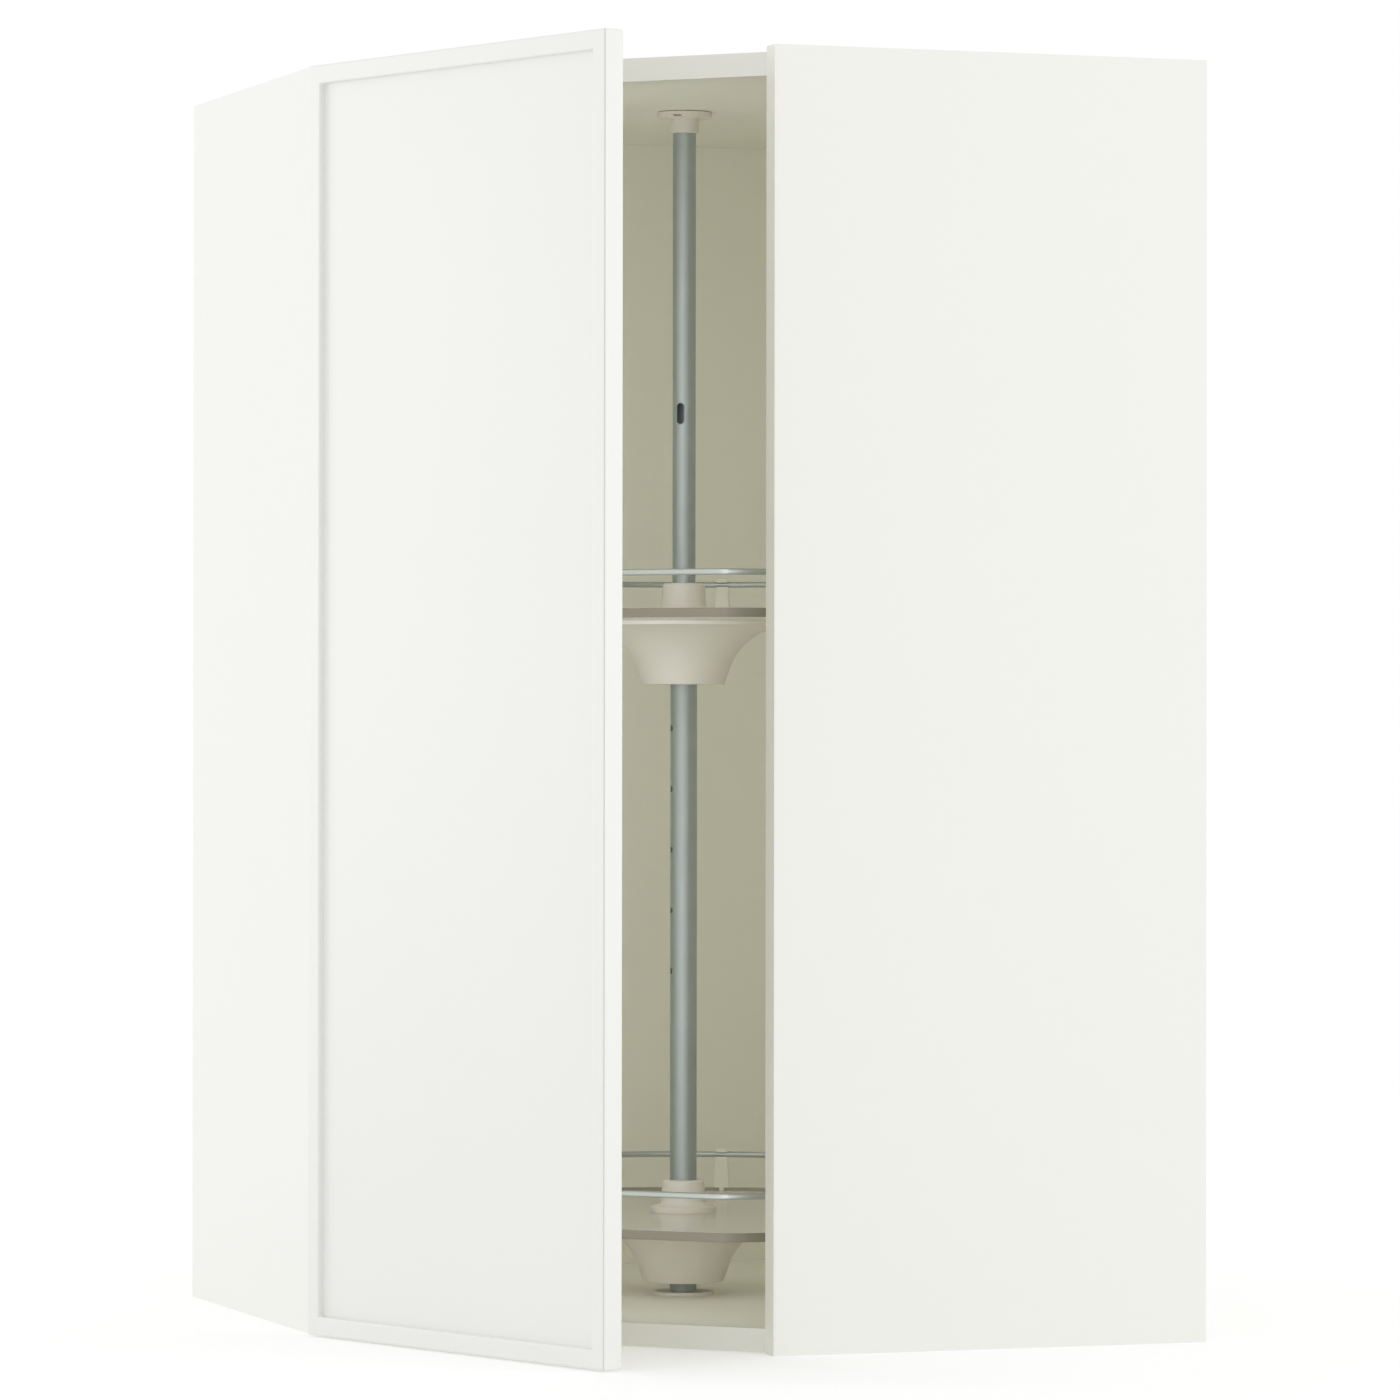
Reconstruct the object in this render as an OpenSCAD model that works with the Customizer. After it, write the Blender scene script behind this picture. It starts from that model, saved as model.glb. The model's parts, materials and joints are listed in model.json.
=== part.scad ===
// Corner wall cabinet with a diagonal door and a two-tier carousel.
// Units are millimetres. The origin is on the carousel's axis, on the underside of the bottom panel.
// The cabinet stands in a room corner: one wall is the plane x = -wall, the other is y = +wall.
// The door faces the diagonal between +x and -y, and is drawn partly open.

/* [Carcass] */
// Outside width along each wall, from the wall corner to the outer face of the side panel
cabinet_w = 653.2; // [640:0.1:700]
// Distance from each wall to the carousel axis
wall = 323; // [318:1:330]
// Depth of each side panel, from the wall to its front edge
side_depth = 365.3; // [350:0.1:380]
// Height of the side panels
side_h = 1016; // [900:1:1200]
// Thickness of the side panels
side_t = 19; // [15:0.5:22]
// Thickness of the top and bottom panels
deck_t = 18.5; // [16:0.5:22]
// How far the side panels reach below the bottom panel
deck_lift = 1.3; // [0.5:0.1:4]
// How far the side panels reach above the top panel
deck_drop = 4.4; // [0.5:0.1:8]
// Thickness of the back panels
back_t = 3; // [2.5:0.5:6]
// Gap between each wall and the back panel
back_inset = 20; // [14:1:24]
// Depth of the grooves that hold the back panels
groove_d = 7; // [4:0.5:9]
// Leg width of the corner batten behind the back panels
batten_leg = 40; // [32:1:60]

/* [Carcass fittings] */
// Distances of the cam fittings from the wall, along each side panel
cam_at = [60, 290];
// Distances of the dowels from the wall, along each side panel
dowel_at = [105, 245];
// Diameter of a cam lock
cam_d = 15; // [12:0.5:18]
// Length of a cam lock
cam_h = 12.5; // [10:0.5:13.5]
// Distance from the panel's end to the centre of the cam
cam_reach = 34; // [28:1:40]
// Diameter of a cam bolt's shank
bolt_d = 7; // [5:0.5:7.5]
// Depth that cam bolts are driven into the side panel
bolt_in = 11; // [8:1:13]
// Diameter of a dowel
dowel_d = 8; // [6:0.5:9]
// Length of a dowel
dowel_len = 30; // [26:1:36]
// Depth of a dowel in the side panel
dowel_in = 10; // [8:1:12]
// Number of screws that hold each back panel to the batten
back_screws = 5; // [3:1:8]
// Thickness of the steel of the hanging brackets
bracket_t = 2.5; // [2:0.5:3]
// Height of a hanging bracket
bracket_h = 90; // [70:1:120]
// Length of the bracket's leg along the wall
bracket_leg = 42; // [36:1:60]
// Diameter of the wall-bolt hole in each bracket
wall_hole_d = 8.5; // [6:0.5:10]
// Distance of the wall-bolt hole from the side panel
wall_hole_in = 26; // [22:1:28]
// Distance from the top panel down to the brackets
bracket_drop = 12; // [6:1:40]

/* [Door] */
// How much narrower the door is than the opening between the side panels' inner edges
door_side_play = 1.9; // [1:0.1:6]
// Thickness of the door
door_t = 18.2; // [17.5:0.1:22]
// Distance of the door's ends from the ends of the side panels
door_end_gap = 1.6; // [0.5:0.1:6]
// Shift of the door from the middle of the front towards its free edge
door_shift = 0.8; // [0:0.1:2]
// Gap between the closed door and the front edges of the top and bottom panels
door_gap = 11; // [10:0.5:14]
// Width of the door's raised frame
frame_w = 15; // [12:0.5:24]
// Depth of the door's recessed field
field_d = 4.8; // [2:0.1:5]
// Opening angle at which the door is drawn
door_open = 25; // [0:1:85]

/* [Hinges] */
// Distances of the outer hinges from the door's ends
hinge_end = 100; // [60:5:180]
// Distance from the side panel's front edge back to the arm pin
pin_back = 40; // [38:0.5:46]
// Distance from the side panel's inner face to the arm pin
pin_in = 6; // [5.5:0.5:9]
// Distance from the door's hinge edge to the cup pin
cup_pin_x = 20.5; // [19:0.5:22]
// Distance from the door's front face to the cup pin
cup_pin_y = 10.5; // [10.5:0.1:12]
// Share of the opening angle that the link turns through
link_share = 0.4; // [0.35:0.01:0.45]
// Diameter of the cup bored into the door
cup_d = 35; // [34:0.5:38]
// Depth of the cup
cup_depth = 11.8; // [11.3:0.1:12]
// Distance from the door's hinge edge to the centre of the cup
cup_x = 22.5; // [21.5:0.5:24]
// Wall of the cup
cup_wall = 0.9; // [0.6:0.1:1.2]
// Thickness of the cup's flange
flange_t = 1.2; // [0.8:0.1:1.5]
// Diameter of the arm pin
arm_pin_d = 4; // [3:0.5:4.5]
// Diameter of the cup pin
cup_pin_d = 3; // [2:0.5:3]
// Thickness of the bent link
link_t = 3; // [2.5:0.1:3.2]
// Height of the link
link_h = 9; // [7:0.5:9.5]
// Length of the link's leg between its elbow and the cup pin
link_leg = 47.5; // [44:0.5:52]
// Length of the mounting plate
plate_len = 40; // [34:1:46]
// Height of the mounting plate
plate_h = 46; // [44:1:56]
// Thickness of the mounting plate
plate_t = 2; // [1.5:0.5:3]
// Pitch of the plate's screws
plate_pitch = 32; // [28:1:34]
// Thickness of the arm's ears
ear_t = 3; // [2:0.5:4]

/* [Carousel pole] */
// Outside diameter of the lower tube
lower_tube_d = 22; // [21.8:0.1:24]
// Outside diameter of the upper tube
upper_tube_d = 19; // [18:0.1:19.2]
// Wall of both tubes
tube_wall = 1.2; // [1:0.1:1.2]
// Length of the upper tube inside the lower tube
tube_lap = 80; // [60:1:120]
// Diameter of the foot disc
foot_d = 49.6; // [40:0.1:60]
// Thickness of the foot disc
foot_t = 2.7; // [2:0.1:4]
// Diameter of the top cup's flange
top_flange_d = 45.5; // [40:0.1:60]
// Thickness of the top cup's flange
top_flange_t = 3; // [2:0.1:4]
// Diameter of the top cup's sleeve
top_sleeve_d = 23.6; // [22:0.1:26]
// Length of the top cup's sleeve below its flange
top_sleeve_h = 14; // [10:1:20]
// Height of the adjusting slot in the upper tube, at its centre
slot_z = 743.2; // [700:1:800]
// Length of the adjusting slot
slot_len = 17.4; // [12:0.1:24]
// Width of the adjusting slot
slot_w = 6.3; // [4:0.1:8]
// Direction that the adjusting slot faces
slot_dir = -38.4; // [-90:0.1:0]
// Height of the lowest adjusting hole in the lower tube
hole_z0 = 284.5; // [200:0.5:300]
// Spacing of the adjusting holes
hole_pitch = 49.9; // [40:0.1:50]
// Number of adjusting holes
hole_count = 5; // [1:1:5]
// Diameter of the adjusting holes and of the support pins' holes
hole_d = 5.2; // [4:0.1:6]

/* [Carousel shelves] */
// Height of the lower tray's underside
tray_z = 80.9; // [78:0.1:100]
// Spacing of the two shelves
shelf_pitch = 491; // [440:1:500]
// Gap between the tray and the side panels
tray_side_gap = 54.2; // [50:0.1:80]
// Gap between the tray's straight edge and the carcass's front
tray_front_gap = 33; // [30:0.1:60]
// Radius of the tray's corners
tray_corner = 15; // [12:1:30]
// Height of the tray's rim
rim_h = 7.5; // [6.5:0.1:10]
// Width of the tray's rim
rim_w = 9; // [8:0.5:14]
// Thickness of the tray's floor
floor_t = 5.5; // [4:0.1:6]
// Diameter of the rail
rail_d = 5; // [4:0.1:6]
// Height of the rail's axis above the tray's underside
rail_z = 35.9; // [30:0.1:50]
// Distance from the tray's edge in to the rail's axis
rail_in = 3.5; // [3.5:0.1:5]
// Directions of the rail posts, counted from the back of the tray
post_dirs = [18, 70, 128];
// Width of a post at its foot
post_w = 13.4; // [11:0.1:16]
// Width of a post at its top
post_top_w = 10; // [8:0.1:11]
// Thickness of a post
post_t = 6.5; // [6:0.1:7]
// Height of a post above the rim
post_h = 33.6; // [32:0.1:50]
// Height of the hub below the tray
hub_h = 51.5; // [40:0.1:60]
// Radius of the hub's foot
hub_foot_r = 33.3; // [30:0.1:40]
// Radius of the hub's rim
hub_rim_r = 83; // [80:0.1:100]
// Height of the hub's rim
hub_lip = 3; // [2:0.1:5]
// Radius of the hub's hollow flare
hub_flare_r = 53.8; // [50:0.1:60]
// Wall of the hub
hub_wall = 2.5; // [2:0.1:3.5]
// Diameter of the collar
collar_d = 34.4; // [32:0.1:38]
// Diameter of the collar's flange
collar_flange_d = 54; // [52:0.1:64]
// Thickness of the collar's flange
collar_flange_t = 5; // [4:0.1:8]
// Height of the collar's top above the tray's underside
collar_top = 31.8; // [28:0.1:40]
// Depth that the collar's spigot reaches below the tray
spigot_h = 12; // [8:0.1:16]
// Diameter of the support ring
ring_d = 36; // [30:0.1:50]
// Height of the support ring
ring_h = 12; // [8:0.1:16]
// Thickness of the thrust washer
washer_t = 1.5; // [1:0.1:3]

/* [Clearances] */
// Gap all round a back panel in its grooves
groove_gap = 0.2; // [0.1:0.05:0.4]
// Gap between the rail and the bores of its posts
rail_gap = 0.1; // [0.1:0.05:0.3]
// Gap between a fixed pin, screw or dowel and its hole
fixed_gap = 0.02; // [0.01:0.01:0.05]
// Running gap between a turning part and its shaft
run_gap = 0.08; // [0.05:0.01:0.1]
// Gap between faces that turn past each other
face_gap = 0.3; // [0.2:0.05:0.5]
// Gap between a tube or hub and what it passes freely
free_gap = 0.5; // [0.4:0.1:1]

/* [Hidden] */
$fn = 96;
eps = 0.01;
half = sqrt(0.5);

// Carcass planes
side_out = cabinet_w - wall;
side_in = side_out - side_t;
front = side_depth - wall;
front_n = (front + side_in) * half;
side_z = -deck_lift;
deck_top = side_z + side_h - deck_drop;
ceiling = deck_top - deck_t;
back_x = -wall + back_inset;
back_face = back_x + back_t;

// Screws: diameter and length of the shank, diameter and height of the head
back_screw = [3, 13, 6, 2];
bracket_screw = [4, 13, 7.5, 2.5];
plate_screw = [5, 12, 7, 2];
cup_screw = [3.5, 10, 6.5, 1.8];
hub_screw = [3.5, 12, 6.5, 2];

// Back panels and hanging brackets
back_screw_end = 60;
back_screw_edge = 10;
access_hole_d = 22;
bracket_z = ceiling - bracket_drop - bracket_h;
bracket_w = back_inset - 2;
bracket_off_wall = 0.5;
bracket_screw_at = [0.2, 0.8];

// Door and hinges: s runs along the front towards the free edge, n runs out of the cabinet
function front_xy(s, n) = [(s + n) * half, (s - n) * half];
function turned(v, a) = [v[0] * cos(a) - v[1] * sin(a), v[0] * sin(a) + v[1] * cos(a)];
front_dir = 45;
door_z = side_z + door_end_gap;
door_h = side_h - 2 * door_end_gap;
door_w = (side_in - front) * 2 * half - door_side_play;
arm_pin = [front - pin_back, -side_in + pin_in];
cup_pin_s = cup_pin_x + door_shift - door_w / 2;
cup_pin_n = front_n + door_gap + door_t - cup_pin_y;
cup_pin_shut = front_xy(cup_pin_s, cup_pin_n);
elbow_shut = front_xy(cup_pin_s, cup_pin_n - link_leg);
link_turn = -link_share * door_open;
cup_pin = arm_pin + turned(cup_pin_shut - arm_pin, link_turn);
hinge_z = [door_z + hinge_end, door_z + door_h / 2, door_z + door_h - hinge_end];
arm_eye_r = arm_pin_d / 2 + 2.4;
cup_eye_r = cup_pin_d / 2 + 1.3;
link_eye_gap = 0.4;
link_web_h = link_h - 1;
elbow_r = link_t * 0.75;
arm_len = plate_len + 20;
arm_nose = 10;
arm_crown = arm_eye_r + 0.5;
arm_screw_sunk = 3;
arm_screw = [4, arm_crown - arm_screw_sunk + pin_in - 0.2, 7.6, 2.4];
arm_h = link_h + 2 * face_gap + 2 * ear_t;
plate_mid = arm_len - plate_len / 2;
cup_screw_x = cup_x + 6;
cup_screw_z = 24;
cup_wing_h = 60;

// Pole
tube_z = deck_t + foot_t;
tube_hide = 6;
lower_tube_top = tray_z + shelf_pitch + collar_top - tube_hide;
upper_tube_z = lower_tube_top - tube_lap;
upper_tube_top = ceiling - free_gap - top_flange_t - 1;
spike_r = 5;
spike_h = 8;
foot_plug_h = 15;

// Shelves
tray_r = round(side_in - tray_side_gap);
tray_front = round(front_n - tray_front_gap);
bore_r = lower_tube_d / 2 + run_gap;
spigot_r = collar_d / 2;
ring_top = -spigot_h - face_gap - washer_t;
pin_z = ring_top - ring_h / 2;
hub_screw_r = 22.5;
hub_screw_dirs = [0, 90, 180, 270];
post_peg_r = 2;
post_peg_h = 4;
tray_turn = -135;

// ---- Shared shapes ----

// What stands at the left wall stands again at the other wall, as its mirror image
module both_sides() {
    children();
    mirror([1, 1, 0]) children();
}

module other_side() {
    mirror([1, 1, 0]) children();
}

// A screw that points along +z with its head's underside at z = 0
module screw(size) {
    head_h = size[3];
    translate([0, 0, -head_h * 0.4]) cylinder(d = size[0], h = size[1] + head_h * 0.4);
    translate([0, 0, -head_h]) difference() {
        cylinder(d = size[2], h = head_h);
        translate([0, 0, -eps]) cylinder(d = size[2] * 0.4, h = head_h * 0.55, $fn = 6);
    }
}

module pilot(d, len) {
    translate([0, 0, -eps]) cylinder(d = d + 2 * fixed_gap, h = len + fixed_gap + eps);
}

// The hole that a screw is driven into
module screw_hole(size) {
    pilot(size[0], size[1]);
}

// ---- Carcass ----

module deck_outline() {
    polygon([[-wall, -side_in], [front, -side_in], [side_in, -front], [side_in, wall], [-wall, wall]]);
}

// Cuts for the joints of one end of a deck, which is drawn with its outer face at z = 0
module deck_end_cuts() {
    for (a = cam_at) translate([-wall + a, -side_in, 0]) {
        translate([0, cam_reach, -eps]) cylinder(d = cam_d + 2 * groove_gap, h = cam_h + groove_gap);
        translate([0, cam_reach, deck_t / 2]) rotate([90, 0, 0])
            cylinder(d = bolt_d + 2 * groove_gap, h = cam_reach + eps);
    }
    for (a = dowel_at) translate([-wall + a, -side_in, deck_t / 2]) rotate([-90, 0, 0])
        pilot(dowel_d, dowel_len - dowel_in + groove_gap);
}

// Groove in the deck's inner face for one back panel
module deck_groove() {
    translate([back_x - groove_gap, -side_in - eps, deck_t - groove_d])
        cube([back_t + 2 * groove_gap, side_in + wall - back_inset + groove_gap + eps, groove_d + eps]);
}

module deck() {
    difference() {
        linear_extrude(deck_t) deck_outline();
        both_sides() {
            deck_end_cuts();
            deck_groove();
        }
        translate([0, 0, deck_t - spike_h - free_gap]) cylinder(r = spike_r + groove_gap, h = spike_h + 1);
    }
}

module bottom_panel() {
    color("whitesmoke") deck();
}

module top_panel() {
    color("whitesmoke") translate([0, 0, deck_top]) mirror([0, 0, 1]) deck();
}

// Holes in the side panel's inner face for the joints with one deck whose mid plane is at z
module side_end_cuts(z) {
    for (a = cam_at) translate([-wall + a, -side_in, z]) rotate([90, 0, 0]) pilot(bolt_d - 2, bolt_in);
    for (a = dowel_at) translate([-wall + a, -side_in, z]) rotate([90, 0, 0]) pilot(dowel_d, dowel_in);
}

module side_blank() {
    difference() {
        translate([-wall, -side_out, side_z]) cube([side_depth, side_t, side_h]);
        side_end_cuts(deck_t / 2);
        side_end_cuts(deck_top - deck_t / 2);
        translate([back_x - groove_gap, -side_in - groove_d, deck_t - groove_d])
            cube([back_t + 2 * groove_gap, groove_d + eps, ceiling - deck_t + 2 * groove_d]);
        bracket_screw_places() screw_hole(bracket_screw);
    }
}

module left_side_panel() {
    color("white") difference() {
        side_blank();
        plate_screw_places() screw_hole(plate_screw);
    }
}

module right_side_panel() {
    color("white") other_side() side_blank();
}

// A back panel from the side groove to "reach", which is the y of its far end
module back_sheet(reach) {
    near = -side_in - groove_d + groove_gap;
    low = deck_t - groove_d + groove_gap;
    difference() {
        translate([back_x, near, low])
            cube([back_t, reach - near, ceiling + groove_d - groove_gap - low]);
        translate([back_x - eps, -side_in + wall_hole_in, bracket_z + bracket_h / 2]) rotate([0, 90, 0])
            cylinder(d = access_hole_d, h = back_t + 2 * eps);
        back_screw_places() screw_hole(back_screw);
    }
}

module left_back_panel() {
    color("gainsboro") back_sheet(-back_face - groove_gap);
}

module right_back_panel() {
    color("gainsboro") other_side() back_sheet(-back_x);
}

module batten_leg_box() {
    translate([-wall, wall - batten_leg, deck_t]) cube([back_inset, batten_leg, ceiling - deck_t]);
}

module corner_batten() {
    color("burlywood") difference() {
        both_sides() batten_leg_box();
        both_sides() back_screw_places() screw_hole(back_screw);
    }
}

// Screws from inside the cabinet through the back panel, into the batten behind it
module back_screw_places() {
    step = (ceiling - deck_t - 2 * back_screw_end) / (back_screws - 1);
    for (i = [0 : back_screws - 1])
        translate([back_face, wall - batten_leg + back_screw_edge, deck_t + back_screw_end + i * step])
            rotate([0, -90, 0]) children();
}

module back_panel_screws() {
    color("silver") both_sides() back_screw_places() screw(back_screw);
}

// ---- Carcass fittings ----

module at_cams() {
    both_sides() for (top = [false, true]) for (a = cam_at)
        translate([-wall + a, -side_in, top ? deck_top : 0]) mirror([0, 0, top ? 1 : 0]) children();
}

module cam_bolts() {
    color("silver") at_cams() translate([0, 0, deck_t / 2]) {
        rotate([90, 0, 0]) cylinder(d = bolt_d - 2, h = bolt_in);
        rotate([-90, 0, 0]) cylinder(d = bolt_d, h = cam_reach - cam_d / 2 + 1);
        rotate([-90, 0, 0]) cylinder(d = bolt_d - 3, h = cam_reach - 1);
        translate([0, cam_reach - 3, 0]) rotate([-90, 0, 0]) cylinder(d = bolt_d - 1, h = 3);
    }
}

module cam_locks() {
    color("darkgray") at_cams() translate([0, cam_reach, 0]) difference() {
        cylinder(d = cam_d, h = cam_h);
        translate([-bolt_d / 2 - 0.4, -cam_d, deck_t / 2 - bolt_d / 2 - 0.4])
            cube([bolt_d + 0.8, cam_d + 1, cam_h]);
        for (turn = [0, 90]) rotate(turn) translate([-4, -0.8, -eps]) cube([8, 1.6, 2]);
    }
}

module dowels() {
    color("burlywood") both_sides() for (z = [deck_t / 2, deck_top - deck_t / 2]) for (a = dowel_at)
        translate([-wall + a, -side_in - dowel_in, z]) rotate([-90, 0, 0])
            cylinder(d = dowel_d, h = dowel_len);
}

module bracket_screw_places() {
    for (z = bracket_screw_at)
        translate([-wall + bracket_w / 2 + 1, -side_in, bracket_z + z * bracket_h]) rotate([90, 0, 0])
            children();
}

module hanging_bracket() {
    color("silver") difference() {
        union() {
            translate([-wall + bracket_off_wall, -side_in, bracket_z]) {
                cube([bracket_w, bracket_t, bracket_h]);
                cube([bracket_t, bracket_leg, bracket_h]);
            }
        }
        translate([-wall, -side_in + wall_hole_in, bracket_z + bracket_h / 2]) rotate([0, 90, 0])
            cylinder(d = wall_hole_d, h = 2 * bracket_t);
        translate([0, bracket_t, 0]) bracket_screw_places() pilot(bracket_screw[0], bracket_t + eps);
    }
}

module left_hanging_bracket() {
    hanging_bracket();
}

module right_hanging_bracket() {
    other_side() hanging_bracket();
}

module bracket_screws() {
    color("silver") both_sides() translate([0, bracket_t, 0]) bracket_screw_places() screw(bracket_screw);
}

// ---- Hinges ----

module at_hinge(i) {
    translate([0, 0, hinge_z[i]]) children();
}

module at_hinges() {
    for (i = [0 : 2]) at_hinge(i) children();
}

// The door's own frame: x along its width from the hinge edge, y from its front face to its back
module on_door() {
    translate([cup_pin[0], cup_pin[1], 0]) rotate(front_dir - door_open)
        translate([-cup_pin_x, -cup_pin_y, 0]) children();
}

// The arm's own frame: origin at the arm pin, y out of the side panel's inner face
module on_arm() {
    translate([arm_pin[0], arm_pin[1], 0]) children();
}

module plate_screw_places() {
    for (i = [0 : 2]) for (side = [-1, 1])
        translate([arm_pin[0] - plate_mid, -side_in, hinge_z[i] + side * plate_pitch / 2])
            rotate([90, 0, 0]) children();
}

module hinge_plate(i) {
    color("silver") difference() {
        at_hinge(i) translate([arm_pin[0] - arm_len, -side_in, -plate_h / 2])
            cube([plate_len, plate_t, plate_h]);
        translate([0, plate_t, 0]) plate_screw_places() pilot(plate_screw[0], plate_t + eps);
        at_hinge(i) on_arm() translate([-plate_mid, plate_t - pin_in, 0]) rotate([90, 0, 0])
            pilot(arm_screw[0], plate_t + eps);
    }
}

module hinge_plate_screws() {
    color("silver") translate([0, plate_t, 0]) plate_screw_places() screw(plate_screw);
}

module hinge_arm(i) {
    base = plate_t - pin_in;
    color("silver") at_hinge(i) on_arm() difference() {
        union() {
            translate([-arm_len, base, -arm_h / 2]) cube([arm_len - arm_nose, arm_crown - base, arm_h]);
            for (side = [-1, 1]) translate([0, 0, side * (link_h / 2 + face_gap + ear_t / 2)]) {
                cylinder(r = arm_eye_r, h = ear_t, center = true);
                translate([-arm_nose - eps, -arm_eye_r, -ear_t / 2]) cube([arm_nose, 2 * arm_eye_r, ear_t]);
            }
        }
        cylinder(d = arm_pin_d + 2 * fixed_gap, h = arm_h + 1, center = true);
        translate([-plate_mid, arm_crown, 0]) rotate([90, 0, 0]) {
            pilot(arm_screw[0], 2 * arm_crown + pin_in);
            pilot(arm_screw[2] + 0.4, arm_screw_sunk);
        }
    }
}

module hinge_arm_screws() {
    color("dimgray") at_hinges() on_arm() translate([-plate_mid, arm_crown - arm_screw_sunk, 0])
        rotate([90, 0, 0]) screw(arm_screw);
}

module hinge_arm_pins() {
    color("gray") at_hinges() on_arm() cylinder(d = arm_pin_d, h = arm_h, center = true);
}

// A straight bar of the link between two points of the closed hinge, seen from the arm pin
module link_bar(a, b) {
    run = b - a;
    translate([a[0], a[1], 0]) rotate(atan2(run[1], run[0]))
        translate([0, -link_t / 2, -link_web_h / 2]) cube([norm(run), link_t, link_web_h]);
}

module link_eye(at, r, h) {
    translate([at[0], at[1], 0]) cylinder(r = r, h = h, center = true);
}

module hinge_link(i) {
    elbow = elbow_shut - arm_pin;
    far = cup_pin_shut - arm_pin;
    color("gainsboro") at_hinge(i) on_arm() rotate(link_turn) difference() {
        union() {
            link_bar([0, 0], elbow);
            link_bar(elbow, far);
            link_eye([0, 0], arm_eye_r - link_eye_gap, link_h);
            link_eye(elbow, elbow_r, link_web_h + 0.4);
            link_eye(far, cup_eye_r, link_h);
        }
        link_eye([0, 0], arm_pin_d / 2 + run_gap, link_h + 1);
        link_eye(far, cup_pin_d / 2 + run_gap, link_h + 1);
    }
}

module cup_screw_places() {
    for (side = [-1, 1]) translate([cup_screw_x, door_t, side * cup_screw_z]) rotate([90, 0, 0]) children();
}

module hinge_cup(i) {
    color("silver") at_hinge(i) on_door() difference() {
        union() {
            translate([cup_x, door_t - cup_depth + 0.1, 0]) rotate([-90, 0, 0])
                cylinder(d = cup_d - 2 * fixed_gap, h = cup_depth);
            translate([cup_x, door_t, 0]) rotate([-90, 0, 0]) cylinder(d = cup_d + 3, h = flange_t);
            translate([cup_x - 2, door_t, -cup_wing_h / 2]) cube([14, flange_t, cup_wing_h]);
        }
        translate([cup_x, door_t - cup_depth + cup_wall, 0]) rotate([-90, 0, 0])
            cylinder(d = cup_d - 2 * cup_wall, h = cup_depth + 2);
        translate([cup_pin_x, cup_pin_y, 0])
            cylinder(d = cup_pin_d + 2 * fixed_gap, h = cup_d, center = true);
        translate([0, flange_t, 0]) cup_screw_places() pilot(cup_screw[0], flange_t + eps);
    }
}

module hinge_cup_pins() {
    color("gray") at_hinges() on_door() translate([cup_pin_x, cup_pin_y, 0])
        cylinder(d = cup_pin_d, h = cup_d - 1, center = true);
}

module hinge_cup_screws() {
    color("silver") at_hinges() on_door() translate([0, flange_t, 0]) cup_screw_places() screw(cup_screw);
}

// ---- Door ----

module door_panel() {
    color("white") on_door() difference() {
        translate([0, 0, door_z]) cube([door_w, door_t, door_h]);
        translate([frame_w, -1, door_z + frame_w])
            cube([door_w - 2 * frame_w, field_d + 1, door_h - 2 * frame_w]);
        at_hinges() {
            translate([cup_x, door_t + eps, 0]) rotate([90, 0, 0]) cylinder(d = cup_d, h = cup_depth + eps);
            cup_screw_places() screw_hole(cup_screw);
        }
    }
}

// ---- Carousel pole ----

module pole_foot() {
    color("antiquewhite") translate([0, 0, deck_t]) {
        cylinder(d = foot_d, h = foot_t);
        translate([0, 0, -spike_h]) cylinder(r = spike_r, h = spike_h + eps);
        cylinder(d = lower_tube_d - 2 * tube_wall - 2 * groove_gap, h = foot_t + foot_plug_h);
    }
}

module tube(d, z0, z1) {
    translate([0, 0, z0]) difference() {
        cylinder(d = d, h = z1 - z0);
        translate([0, 0, -1]) cylinder(d = d - 2 * tube_wall, h = z1 - z0 + 2);
    }
}

// A hole right through both walls of a tube, along y
module cross_hole(d) {
    rotate([90, 0, 0]) cylinder(d = d, h = 2 * lower_tube_d, center = true);
}

module support_holes() {
    for (shelf = [0, 1]) translate([0, 0, tray_z + shelf * shelf_pitch + pin_z]) cross_hole(hole_d);
}

module pole_lower_tube() {
    color("darkgray") difference() {
        tube(lower_tube_d, tube_z, lower_tube_top);
        support_holes();
        for (i = [0 : hole_count - 1]) translate([0, 0, hole_z0 + i * hole_pitch]) cross_hole(hole_d);
    }
}

module slot_cut() {
    rotate(slot_dir) translate([0, 0, slot_z]) rotate([0, 90, 0]) {
        for (end = [-1, 1]) translate([end * (slot_len - slot_w) / 2, 0, 0])
            cylinder(d = slot_w, h = upper_tube_d);
        translate([-(slot_len - slot_w) / 2, -slot_w / 2, 0])
            cube([slot_len - slot_w, slot_w, upper_tube_d]);
    }
}

module pole_upper_tube() {
    color("darkgray") difference() {
        tube(upper_tube_d, upper_tube_z, upper_tube_top);
        slot_cut();
        support_holes();
    }
}

module pole_top_cup() {
    top = ceiling - free_gap;
    color("antiquewhite") difference() {
        union() {
            translate([0, 0, top - top_flange_t]) cylinder(d = top_flange_d, h = top_flange_t);
            translate([0, 0, top - top_flange_t - top_sleeve_h])
                cylinder(d = top_sleeve_d, h = top_sleeve_h + eps);
            translate([0, 0, top - eps]) cylinder(r = spike_r, h = spike_h);
        }
        translate([0, 0, top - top_flange_t - top_sleeve_h - 1])
            cylinder(d = upper_tube_d + 2 * fixed_gap, h = top_sleeve_h + 1);
    }
}

// ---- Carousel shelves ----

// Each shelf's own frame: z = 0 at the tray's underside
module at_shelf(level) {
    translate([0, 0, tray_z + level * shelf_pitch]) children();
}

// Corner circle's centre of a D outline of radius r, front edge f and corner radius c
function corner_at(r, f, c) = [sqrt(pow(r - c, 2) - pow(f - c, 2)), f - c];

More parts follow.
